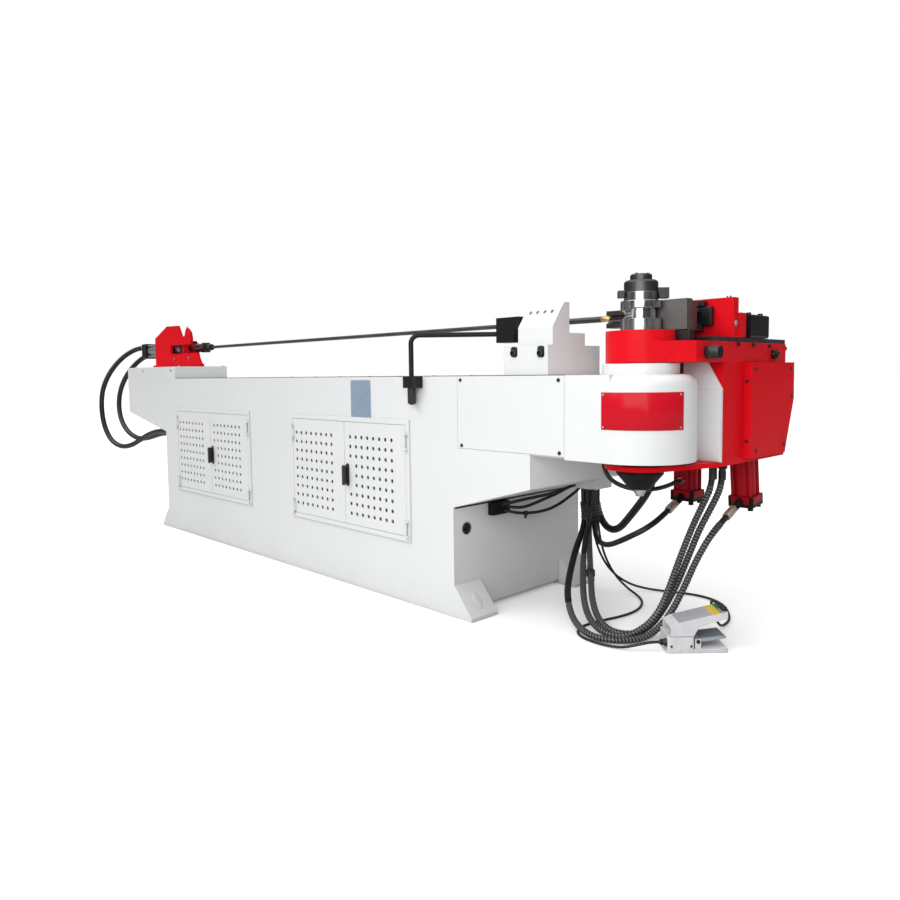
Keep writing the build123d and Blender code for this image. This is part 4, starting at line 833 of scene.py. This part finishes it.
def outline(ring, n):
    """n points evenly along a closed outline, starting where it is farthest along x."""
    k = max(range(len(ring)), key=lambda i: ring[i][0])
    ring = ring[k:] + ring[:k]
    seg = [math.dist(a, b) for a, b in zip(ring, ring[1:] + ring[:1])]
    total, res, i, run = sum(seg), [], 0, 0.0
    for j in range(n):
        s = total * j / n
        while run + seg[i] < s:
            run += seg[i]
            i += 1
        a, b = ring[i], ring[(i + 1) % len(ring)]
        f = (s - run) / max(seg[i], 1e-9)
        res.append((a[0] + (b[0] - a[0]) * f, a[1] + (b[1] - a[1]) * f))
    return res


bm = bmesh.new()
rows = []
WRAP = (404, 403, 399, 395, 393, 391, 387, 383, 381, 379, 375, 371, 369, 367, 363, 359, 357, 355, 351, 347, 345, 343, 339, 336, 335)
for i, z in enumerate(WRAP):
    swell = -1.0 if i in (0, len(WRAP) - 1) else (0.8 if i % 4 in (0, 3) else (3.4 if i % 4 == 2 else 2.6))
    pts = []
    for name in ("clamp_hose_a", "clamp_hose_b", "clamp_hose_c", "pressure_hose", "trunk_hose", "pedal_cable", "gland_cable"):
        c = at_height(LINES.get(name, twin), z / 1000, P(198, 655, z))
        rad = DIA.get(name, HOSE_D) / 2 + (0.0030 if name == "clamp_hose_a" else 0.0) + swell / 1000
        pts += [(c.x + rad * math.cos(2 * math.pi * t / 20), c.y + rad * math.sin(2 * math.pi * t / 20)) for t in range(20)]
    rows.append([bm.verts.new((x, y, z / 1000)) for x, y in outline(hull(pts), 72)])
for r0, r1 in zip(rows, rows[1:]):
    for i in range(72):
        j = (i + 1) % 72
        bm.faces.new((r0[i], r0[j], r1[j], r1[i]))
bm.faces.new(rows[0])
bm.faces.new(list(reversed(rows[-1])))
finish_mesh("bundle_wrap", bm, "cable_pvc", "base", 60)

# clip on the guarded strand
knot = at_height(LINES["clamp_hose_b"], 0.152, P(320, 470, 152))
near = min(range(len(LINES["clamp_hose_b"])), key=lambda i: (LINES["clamp_hose_b"][i] - knot).length)
along = (LINES["clamp_hose_b"][near + 1] - LINES["clamp_hose_b"][near - 1]).normalized()
bm = bmesh.new()
turned(bm, knot - along * 0.014, along, [("c", 11.2, 0), ("c", 16.5, 0), ("c", 18.0, 2), ("c", 18.0, 26), ("c", 16.5, 28), ("c", 11.2, 28)], 28, loop=True)
clip = finish_mesh("strand_clip", bm, "black_plastic", None)
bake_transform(clip)


# ------------------------------------------------------------------ trim on the near side


def block(bm, lo, hi, edge=2.0):
    """A machined block between two corners in mm, all edges broken."""
    e = min(edge, *(0.4 * (h - l) for l, h in zip(lo, hi)))
    grid = {}
    for ax in range(3):
        for sg in (0, 1):
            o = [i for i in range(3) if i != ax]
            ring = []
            for c0, c1 in ((0, 0), (1, 0), (1, 1), (0, 1)):
                q = [0.0, 0.0, 0.0]
                q[ax] = hi[ax] if sg else lo[ax]
                q[o[0]] = hi[o[0]] - e if c0 else lo[o[0]] + e
                q[o[1]] = hi[o[1]] - e if c1 else lo[o[1]] + e
                corner = [0, 0, 0]
                corner[ax], corner[o[0]], corner[o[1]] = sg, c0, c1
                v = bm.verts.new(P(*q))
                grid[(ax, tuple(corner))] = v
                ring.append(v)
            bm.faces.new(ring)
    for ax in range(3):
        o = [i for i in range(3) if i != ax]
        for c0 in (0, 1):
            for c1 in (0, 1):
                ends = []
                for t in (0, 1):
                    corner = [0, 0, 0]
                    corner[ax], corner[o[0]], corner[o[1]] = t, c0, c1
                    ends.append(tuple(corner))
                bm.faces.new((grid[(o[0], ends[0])], grid[(o[0], ends[1])], grid[(o[1], ends[1])], grid[(o[1], ends[0])]))
    for c in [(i, j, k) for i in (0, 1) for j in (0, 1) for k in (0, 1)]:
        bm.faces.new((grid[(0, c)], grid[(1, c)], grid[(2, c)]))


def annulus(bm, pos, axis, r_in, r_out, h, edge=1.2, n=32):
    """A ring with broken outer edges, standing h mm proud."""
    turned(bm, pos, axis, [("c", r_in, -1), ("c", r_out, -1), ("c", r_out, h - edge), ("c", r_out - edge, h), ("c", r_in + edge, h), ("c", r_in, h - edge)], n, loop=True)


# upper flange of the die, over the groove
bm = bmesh.new()
annulus(bm, P(724.6, 184, 1181), TOP, 48.5, 66.6, 24, 1.8, 96)
# the flange takes the die's finish, with its painted reflection streaks
finish_mesh("die_flange", bm, "die_chrome_painted_reflections", "swing_arm")

black_bolts, zinc_bolts = bmesh.new(), bmesh.new()
for x, z in ((47, 945), (520, 944), (51, 693), (524, 694)):
    button_screw(black_bolts, P(x, 0, z), NEAR, 7.0, 4.0)
for x, z in ((304, 1041), (428, 1038)):
    socket_bolt(black_bolts, P(x, 20, z), NEAR, 12.0, 11.0)
for x in (-2966, -2540):
    button_screw(zinc_bolts, P(x, 0, 1012), NEAR, 8.0, 5.0)

# slots the wiper block slides on its bolts
bm = bmesh.new()
for x, z in ((304, 1041), (428, 1038)):
    slab(bm, [P(px, 20, pz) for px, pz in rounded(x - 16, x + 16, z - 15, 1064, 9)], 0.5, NEAR, 0.2)
finish_mesh("wiper_slots", bm, "dark_steel", "base")

# sealing bead along the near edge of the deck
bm = bmesh.new()
block(bm, (-2479, 3, 959.5), (544, 8, 962.6), 1.0)
finish_mesh("deck_bead", bm, "black_plastic", "base")

# sign plate, blank, wrapped round the nose of the head
S = (724.6, 184.0)
bm = bmesh.new()
path = [(695 + 7.4 * i, 0.0, (0.0, -1.0)) for i in range(4)]
for i in range(25):
    a = math.radians(-90 + 78 * i / 24)
    path.append((S[0] + 184 * math.cos(a), S[1] + 184 * math.sin(a), (math.cos(a), math.sin(a))))
rows = []
for x, y, (nx, ny) in path:
    col = []
    for z, t in ((783, -0.5), (783, 1.6), (784, 2.2), (903, 2.2), (904, 1.6), (904, -0.5)):
        col.append(bm.verts.new(P(x + nx * t, y + ny * t, z)))
    rows.append(col)
for r0, r1 in zip(rows, rows[1:]):
    for i in range(6):
        j = (i + 1) % 6
        bm.faces.new((r0[i], r0[j], r1[j], r1[i]))
bm.faces.new(list(reversed(rows[0])))
bm.faces.new(rows[-1])
finish_mesh("sign_plate", bm, "sign_red", "base")
for a_deg, xx in ((None, 702), (-16, None)):
    for z in (791, 896):
        if a_deg is None:
            button_screw(zinc_bolts, P(xx, -2.2, z), NEAR, 3.6, 2.0)
        else:
            a = math.radians(a_deg)
            button_screw(zinc_bolts, P(S[0] + 186.2 * math.cos(a), S[1] + 186.2 * math.sin(a), z), (math.cos(a), math.sin(a), 0), 3.6, 2.0)

# rating plate, blank, on the near side plate
bm = bmesh.new()
slab(bm, [P(x, 0, z) for x, z in rounded(-656, -512, 776, 946, 6)], 1.6, NEAR, 0.4)
finish_mesh("rating_plate", bm, "plate_alloy", "base")
for x in (-647, -521):
    for z in (785, 937):
        turned(zinc_bolts, P(x, -1.6, z), NEAR, [("c", 3.4, -1), ("c", 3.4, 0.3), ("c", 2.6, 1.2), ("c", 1.2, 1.7)], 14)

# sleeve under the rod rest's clamp
bm = bmesh.new()
turned(bm, P(-210, -25, 850), TOP, [("c", 10.8, 0), ("c", 16, 0), ("c", 17, 1.5), ("c", 17, 63.5), ("c", 10.8, 63.5)], 32, loop=True)
finish_mesh("rod_rest_sleeve", bm, "bolt_black", "base")

# round holes' rubber edge on the end panel, clip for the looms
bm = bmesh.new()
annulus(bm, P(0, 72, 350), EAST, 15.5, 24.5, 4.5, 2.0)
turned(bm, P(-5, 72, 350), EAST, [("c", 16, 0), ("c", 16, 5.5), ("c", 17.5, 5.5), ("c", 17.5, 0)], 32, loop=True)
finish_mesh("panel_grommet", bm, "black_plastic", "base")
bm = bmesh.new()
annulus(bm, P(80, 340, 384), (0.25, 0.95, -0.05), 7.0, 10.5, 12, 1.0)
block(bm, (75, 337, 362), (85, 349, 376), 2.5)
finish_mesh("loom_clip", bm, "black_plastic", "base")

# ------------------------------------------------------------------ trim on the deck and at the rear
for x in range(-2400, 500, 290):
    for y in (32, 786):
        if not (230 < x < 480 and y < 400):
            turned(black_bolts, P(x, y, 960), TOP, [("c", 11, -1), ("c", 11, 0.4), ("c", 9.5, 1.2), ("hex", 5.0, 1.2), ("hex", 4.8, 0.2)])
for x, y in ((-2690, 189),):
    hex_nut(zinc_bolts, P(x, y, 1285), TOP, 8.0, 7.0, 9.0)
for x, z in ((-2882, 1088), (-2665, 1092)):
    hex_bolt(zinc_bolts, P(x, 181, z), NEAR, 8.5, 6.5, False)
for x, z in ((-3140, 1091), (-2882, 1091), (-3060, 1200)):
    hex_bolt(zinc_bolts, P(x, 321, z), FAR, 9.5, 7.5)
for x, y in ((-3207, 251), (-3207, 306), (-2690, 250), (-2640, 222)):
    hex_bolt(zinc_bolts, P(x, y, 1053), TOP, 9.0, 7.5)
for x in (-3190, -2510):
    for y in (40, 338):
        button_screw(zinc_bolts, P(x, y, 1035), TOP, 8.0, 5.0)
for dy in (-39, 39):
    for dz in (-39, 39):
        hex_nut(zinc_bolts, P(-3470, 251 + dy, 1159 + dz), WEST, 9.5, 7.0, 5.0)
        if dz < 0:
            hex_nut(zinc_bolts, P(-2772, 251 + dy, 1159 + dz), EAST, 9.5, 7.0, 5.0)
for y, z in ((225, 1187), (275, 1131)):
    turned(zinc_bolts, P(-3475, y, z), WEST, [("hex", 17, -1), ("hex", 17, 9), ("c", 15, 10.5), ("c", 12, 10.5)], 24)
for y, z in ((100, 604), (146, 586)):
    turned(zinc_bolts, P(-2667, y, z), WEST, [("hex", 19, -1), ("hex", 19, 8), ("c", 16, 10), ("c", 12, 10)], 24)

# skirt strips that close the gap to the floor between the feet
bm = bmesh.new()
for y in (1.0, 812.0):
    block(bm, (-2494, y, 0.4), (-151, y + 7, 13), 1.0)
finish_mesh("skirt_strips", bm, "white_paint", "base")

# caps over the anchor bolts, flush with the sloping toes
bm = bmesh.new()
for cx, sg in ((52.0, 1), (-2697.0, -1)):
    for cy in (75.0, 745.0):
        low, rim, top = [], [], []
        for i in range(40):
            t = 2 * math.pi * i / 40
            for row, rad, lift in ((low, 23.7, None), (rim, 23.7, -0.4), (top, 22.6, 0.3)):
                x, y = cx + rad * math.cos(t), cy + rad * math.sin(t)
                toe = x if sg > 0 else -2645.0 - x
                row.append(bm.verts.new(P(x, y, 26.0 if lift is None else max(26.5, 131 - 117.0 / 95.0 * toe + lift))))
        for r0, r1 in ((low, rim), (rim, top)):
            for i in range(40):
                j = (i + 1) % 40
                bm.faces.new((r0[i], r0[j], r1[j], r1[i]))
        bm.faces.new(list(reversed(low)))
        bm.faces.new(top)
finish_mesh("anchor_caps", bm, "white_paint", "base")

# webs behind the door pulls
for nm, cx in (("rear", -2020.0), ("front", -706.0)):
    bm = bmesh.new()
    block(bm, (cx + 24 - 6.5, -28, 472), (cx + 24 + 6.5, -11, 558), 2.0)
    finish_mesh("door_pull_web_" + nm, bm, "black_paint", "door_" + nm + "_right")

# pressure die slide: gib strips and bolts
bm = bmesh.new()
for x0, x1 in ((548, 561), (687, 689.5)):
    block(bm, (x0, 385, 959.5), (x1, 800, 984), 1.5)
finish_mesh("slide_gibs", bm, "dark_steel", "base")
for y in (420, 520, 620, 720, 780):
    socket_bolt(black_bolts, P(554.5, y, 984), TOP, 5.0, 4.5)

# far side: two louvred access covers and a row of seam screws
cover, louvre = bmesh.new(), bmesh.new()
for x0, x1 in ((-2440, -1600), (-1120, -280)):
    slab(cover, [P(px, 820, pz) for px, pz in reversed(rounded(x0, x1, 250, 800, 22))], 3.0, FAR, 1.0)
    for i in range(11):
        z = 400 + i * 27
        for xa, xb in ((x0 + 90, x0 + 380), (x1 - 380, x1 - 90)):
            rows = []
            for dy, dz in ((2.6, 16), (10.5, 4), (10.5, 2), (2.6, 2)):
                k = (10.5 - dy) * 0.9
                rows.append([louvre.verts.new(P(px, 820 + dy, z + dz)) for px in (xa + 9 - k, xb - 9 + k)])
            for r0, r1 in zip(rows, rows[1:] + rows[:1]):
                louvre.faces.new((r0[0], r0[1], r1[1], r1[0]))
            louvre.faces.new([q[0] for q in rows])
            louvre.faces.new([q[1] for q in reversed(rows)])
    for x in (x0 + 24, (x0 + x1) / 2, x1 - 24):
        for z in (274, 776):
            button_screw(black_bolts, P(x, 823, z), FAR, 8.0, 4.5)
    for x in (x0 + 24, x1 - 24):
        button_screw(black_bolts, P(x, 823, 525), FAR, 8.0, 4.5)
finish_mesh("far_covers", cover, "white_paint", "base")
finish_mesh("far_louvres", louvre, "white_paint", "base", 20)
for x in (60, 300, 520):
    for z in (700, 940):
        button_screw(black_bolts, P(x, 820, z), FAR, 7.0, 4.0)

finish_mesh("machine_screws", black_bolts, "bolt_black", "base")
finish_mesh("machine_bolts", zinc_bolts, "bolt_zinc", "base")

# ------------------------------------------------------------------ trim on the arm
bm = bmesh.new()
for y, z in ((500, 1060), (619, 1059), (754, 1058)):
    socket_bolt(bm, P(915, y, z), EAST, 7.0, 6.0)
hex_nut(bm, P(915, 790, 1028), EAST, 20.0, 13.0, 10.0)
hex_bolt(bm, P(904, 905, 1052), FAR, 9.5, 21.0)
hex_bolt(bm, P(740, 905, 1040), FAR, 10.0, 12.0)
for x, z in ((928, 931), (928, 718)):
    button_screw(bm, P(x, 551, z), NEAR, 6.0, 4.0)
for y, z in ((590, 975), (890, 975), (600, 682), (838, 690), (905, 868)):
    button_screw(bm, P(941, y, z), EAST, 7.0, 4.0)
for x in (760, 912):
    for y in (585, 680):
        socket_bolt(bm, P(x, y, 1166), TOP, 9.0, 8.0)
for x, y in ((722, 335), (722, 440), (722, 560), (722, 680), (722, 800), (722, 880), (900, 335), (900, 560), (900, 800), (900, 880)):
    if not (738 < x + 12 < 934 and 548 < y < 720):
        turned(bm, P(x, y, 1084), TOP, [("c", 8, -1), ("c", 8, 0.4), ("c", 7, 1.2), ("hex", 4.0, 1.2), ("hex", 3.8, 0.2)])
finish_mesh("arm_bolts", bm, "bolt_black", "swing_arm")

# stop screw with a knurled head on the arm's free side
bm = bmesh.new()
a, b, w = axes(EAST)
rows = []
for rad, h, kn in ((19.5, -1, 0), (20.6, 1.5, 0), (20.6, 5, 0), (21.0, 6, 1), (21.0, 43, 1), (20.6, 45, 0), (20.1, 47.2, 0), (15.0, 46.8, 0), (11.6, 30, 2)):
    row = []
    for i in range(72):
        t = 2 * math.pi * i / 72
        k = rad + (0.55 if kn == 1 and i % 2 else 0.0)
        if kn == 2:
            k = rad * math.cos(math.pi / 6) / math.cos((t % (math.pi / 3)) - math.pi / 6)
        row.append(bm.verts.new(P(915, 276, 1030) + (a * k * math.cos(t) + b * k * math.sin(t) + w * h) / 1000))
    rows.append(row)
for r0, r1 in zip(rows, rows[1:]):
    for i in range(72):
        j = (i + 1) % 72
        bm.faces.new((r0[i], r0[j], r1[j], r1[i]))
bm.faces.new(list(reversed(rows[0])))
bm.faces.new(rows[-1])
finish_mesh("arm_stop_screw", bm, "bolt_black", "swing_arm", 25)

# lower wear plate on the knee, and the knee's seam
bm = bmesh.new()
slab(bm, [P(x, 385, z) for x, z in ((774, 659), (913, 659), (913, 904), (774, 904))], 2.2, NEAR, 0.6)
finish_mesh("knee_lower_plate", bm, "white_paint", "swing_arm")

# rest under the grip, cap screws on the post
bm = bmesh.new()
block(bm, (796, 216, 1067.5), (884, 250, 1105.5), 2.0)
finish_mesh("grip_rest", bm, "bolt_black", "swing_arm")
bm = bmesh.new()
for i in range(3):
    t = math.radians(20 + 120 * i)
    socket_bolt(bm, P(S[0] + 22 * math.cos(t), S[1] + 22 * math.sin(t), 1294), TOP, 5.0, 3.5)
finish_mesh("post_screws", bm, "bolt_black", "swing_arm")

# nut on the spindle's lower end
bm = bmesh.new()
turned(bm, P(S[0], S[1], 571.2), DOWN, [("c", 24, -0.5), ("c", 24, 2.2), ("hex", 20, 2.2), ("hex", 20, 13), ("c", 17.4, 15), ("c", 15.2, 15)], 36)
finish_mesh("spindle_nut", bm, "bolt_zinc", "swing_arm")

# clamp die holder on the block's face
bm = bmesh.new()
block(bm, (734, 404, 1126), (862, 429.5, 1190), 2.5)
block(bm, (728, 398, 1192), (836, 429.5, 1212), 2.0)
finish_mesh("clamp_die_holder", bm, "bolt_black", "clamp_slide")

# clamp block: draw bolt, cap screws
bm = bmesh.new()
hex_bolt(bm, P(804, 397, 1182), TOP, 13.0, 24.0)
hex_bolt(bm, P(931, 448, 1130), EAST, 9.0, 5.0)
for x in (735, 905):
    socket_bolt(bm, P(x, 448.5, 1218), TOP, 8.0, 7.0)
finish_mesh("clamp_bolts", bm, "bolt_zinc", "clamp_slide")

# mandrel tip
bm = bmesh.new()
turned(bm, P(522, 251, 1159), EAST, [("c", 9.0, 0), ("c", 10.6, 2.8), ("c", 10.6, 22), ("c", 9.8, 29), ("c", 7.8, 34), ("c", 4.6, 37.2), ("c", 1.5, 38.4)], 28)
finish_mesh("mandrel_tip", bm, "brass", "mandrel")

# ------------------------------------------------------------------ trim on the foot switch
UX, UY = Vector((0.695, 0.719, 0)).normalized(), Vector((-0.719, 0.695, 0)).normalized()


def F(x, y, z):
    return P(803, 237, 0) + (UX * x + UY * y + Vector((0, 0, z))) / 1000


def hood(x):
    return 104 + (x - 40) * 39 / 169


SLOPE = (UX * -39 + Vector((0, 0, 169))).normalized()
for name, x0, x1, mat in (("switch_label_yellow", 160, 187, "yellow_paint"), ("switch_label_green", 188, 207, "green_paint")):
    bm = bmesh.new()
    slab(bm, [F(x0, 5, hood(x0)), F(x1, 5, hood(x1)), F(x1, 105, hood(x1)), F(x0, 105, hood(x0))], 0.9, SLOPE, 0.3)
    finish_mesh(name, bm, mat, "base")
bm = bmesh.new()
x0, x1 = 44, 158
slab(bm, [F(x0, 8, hood(x0)), F(x1, 8, hood(x1)), F(x1, 102, hood(x1)), F(x0, 102, hood(x0))], 1.6, SLOPE, 0.5)
finish_mesh("switch_hood_pad", bm, "hood_grey", "base")
bm = bmesh.new()
turned(bm, F(3.9, 22, 34), -UX, [("c", 12.5, -1), ("hex", 13.5, 0), ("hex", 13.5, 6), ("c", 11.5, 8), ("c", 10.4, 14), ("c", 8.0, 21), ("c", 5.4, 27), ("c", 5.2, 30)], 24)
finish_mesh("switch_gland", bm, "black_plastic", "base")
bm = bmesh.new()
turned(bm, F(199, 6.5, 153), UY, [("c", 7.5, 0), ("c", 9.2, 1.5), ("c", 9.6, 20), ("c", 9.6, 40), ("c", 8.2, 50), ("c", 6.0, 58), ("c", 5.3, 62)], 24)
finish_mesh("switch_boot", bm, "navy_rubber", "base")

# pedal: ribbed pad; screw heads at the hinge ends, housing screws and seam strips
bm = bmesh.new()
grade = (56 - 46) / (202 - 110)
for i in range(15):
    xa = 118 + i * 5.8
    za = 46 + (xa - 110) * grade
    rows = [[bm.verts.new(F(xa + dx, y, za + dx * grade + dz)) for y in (16, 94)] for dx, dz in ((0, -0.3), (0.6, 1.8), (1.4, 2.4), (3.2, 2.4), (4.0, 1.8), (4.6, -0.3))]
    for r0, r1 in zip(rows, rows[1:] + rows[:1]):
        bm.faces.new((r0[0], r0[1], r1[1], r1[0]))
    bm.faces.new([q[0] for q in rows])
    bm.faces.new([q[1] for q in reversed(rows)])
finish_mesh("pedal_pad", bm, "pedal_pad", "pedal_body")
bm = bmesh.new()
turned(bm, F(108, 3.2, 40), -UY, [("c", 7, -1), ("c", 7, 2), ("c", 5.5, 3), ("hex", 3.2, 3), ("hex", 3.0, 1)], 20)
turned(bm, F(108, 106.8, 40), UY, [("c", 7, -1), ("c", 7, 2), ("c", 5.5, 3), ("hex", 3.2, 3), ("hex", 3.0, 1)], 20)
for x, y in ((16, 14), (84, 14), (16, 96), (84, 96)):
    turned(bm, F(x, 1.95, 24) if y < 50 else F(x, 108.05, 24), -UY if y < 50 else UY, [("c", 4.2, -1), ("c", 4.2, 0.8), ("c", 3.4, 1.5), ("hex", 2.0, 1.5), ("hex", 1.9, 0.6)], 18)
finish_mesh("switch_screws", bm, "bolt_black", "base")
bm = bmesh.new()
for y0, y1 in ((1.7, 2.3), (107.7, 108.3)):
    rows = [[bm.verts.new(F(x, y, z)) for x in (9, 92)] for y, z in ((y0, 57.4), (y1, 57.4), (y1, 58.8), (y0, 58.8))]
    for r0, r1 in zip(rows, rows[1:] + rows[:1]):
        bm.faces.new((r0[0], r0[1], r1[1], r1[0]))
    bm.faces.new([q[0] for q in rows])
    bm.faces.new([q[1] for q in reversed(rows)])
finish_mesh("switch_seam", bm, "bolt_black", "base")


# ------------------------------------------------------------------ floor, light, world
bm = bmesh.new()
n, half = 48, 60.0
rows = [[bm.verts.new((-half + 2 * half * i / n, -half + 2 * half * j / n, -0.0005)) for i in range(n + 1)] for j in range(n + 1)]
for j in range(n):
    for i in range(n):
        bm.faces.new((rows[j][i], rows[j][i + 1], rows[j + 1][i + 1], rows[j + 1][i]))
fl = Mat("pale_floor", Metallic=0.0, IOR=1.45, Specular_IOR_Level=0.2)
see = fl.ramp(fl.noise(0.8, 5.0, 0.6), [(0.3, (0.95, 0.95, 0.95)), (0.7, (0.965, 0.965, 0.965))])
lit = fl.ramp(fl.noise(0.8, 5.0, 0.6), [(0.3, (0.55, 0.55, 0.55)), (0.7, (0.58, 0.58, 0.58))])
fl.color(fl.mix(fl.add("ShaderNodeLightPath").outputs["Is Camera Ray"], lit, see))
fl.b.inputs["Emission Color"].default_value = (1, 1, 1, 1)
fl.link(fl.math("MULTIPLY", fl.add("ShaderNodeLightPath").outputs["Is Camera Ray"], 0.22), fl.b.inputs["Emission Strength"])
fl.rough(fl.rng(fl.noise(3.0, 4.0, 0.6), 0.3, 0.7, 0.75, 0.9))
fl.normal(fl.bump(fl.noise(60, 3.0, 0.6), 0.02, 0.001))
me = bpy.data.meshes.new("floor")
bm.to_mesh(me)
bm.free()
me.materials.append(fl.m)
floor = bpy.data.objects.new("floor", me)
bpy.context.scene.collection.objects.link(floor)


def aim(ob, pos, target):
    z = (Vector(pos) - Vector(target)).normalized()
    x = Vector((0, 0, 1)).cross(z).normalized()
    y = z.cross(x)
    ob.matrix_world = Matrix(((x.x, y.x, z.x, pos[0]), (x.y, y.y, z.y, pos[1]), (x.z, y.z, z.z, pos[2]), (0, 0, 0, 1)))


sun = bpy.data.lights.new("sun", "SUN")
sun.energy = 0.75
sun.angle = math.radians(35)
sun_ob = bpy.data.objects.new("sun", sun)
bpy.context.scene.collection.objects.link(sun_ob)
aim(sun_ob, (-2.6, -5.6, 5.0), (0, 0, 0))

key = bpy.data.lights.new("key", "AREA")
key.shape = "RECTANGLE"
key.size, key.size_y = 2.6, 1.6
key.energy = 48
key_ob = bpy.data.objects.new("key", key)
bpy.context.scene.collection.objects.link(key_ob)
aim(key_ob, (3.0, -3.4, 1.9), (1.6, -0.2, 0.8))

strip = bpy.data.lights.new("strip", "AREA")
strip.shape = "RECTANGLE"
strip.size, strip.size_y = 0.45, 2.2
strip.energy = 14
strip_ob = bpy.data.objects.new("strip", strip)
bpy.context.scene.collection.objects.link(strip_ob)
aim(strip_ob, (4.4, -2.9, 1.9), (1.97, -0.25, 1.1))

world = bpy.data.worlds.new("studio")
bpy.context.scene.world = world
world.use_nodes = True
nt = world.node_tree
nt.nodes.clear()
out = nt.nodes.new("ShaderNodeOutputWorld")
bg = nt.nodes.new("ShaderNodeBackground")
tc = nt.nodes.new("ShaderNodeTexCoord")
sep = nt.nodes.new("ShaderNodeSeparateXYZ")
nt.links.new(tc.outputs["Generated"], sep.inputs[0])


def wmath(op, x, y, clamp=False):
    n = nt.nodes.new("ShaderNodeMath")
    n.operation = op
    n.use_clamp = clamp
    for i, v in enumerate((x, y)):
        if hasattr(v, "is_output"):
            nt.links.new(v, n.inputs[i])
        else:
            n.inputs[i].default_value = v
    return n.outputs[0]


# a big soft ceiling, darker walls, a little brighter on the near left
zen = wmath("POWER", wmath("MAXIMUM", sep.outputs[2], 0.0), 2.0)
side = wmath("ADD", wmath("MULTIPLY", sep.outputs[0], -0.34), wmath("ADD", wmath("MULTIPLY", sep.outputs[1], -0.34), 1.0))
glow = wmath("MULTIPLY", wmath("ADD", wmath("MULTIPLY", zen, 1.60), 0.12), side)
lp = nt.nodes.new("ShaderNodeLightPath")
mx = nt.nodes.new("ShaderNodeMix")
mx.data_type = "FLOAT"
nt.links.new(lp.outputs["Is Camera Ray"], mx.inputs[0])
nt.links.new(glow, mx.inputs[2])
mx.inputs[3].default_value = 1.0
nt.links.new(mx.outputs[0], bg.inputs["Strength"])
bg.inputs["Color"].default_value = (1.0, 1.0, 1.0, 1)
nt.links.new(bg.outputs[0], out.inputs[0])

sc = bpy.context.scene
sc.view_settings.view_transform = "Standard"
sc.view_settings.look = "None"
sc.cycles.use_denoising = True
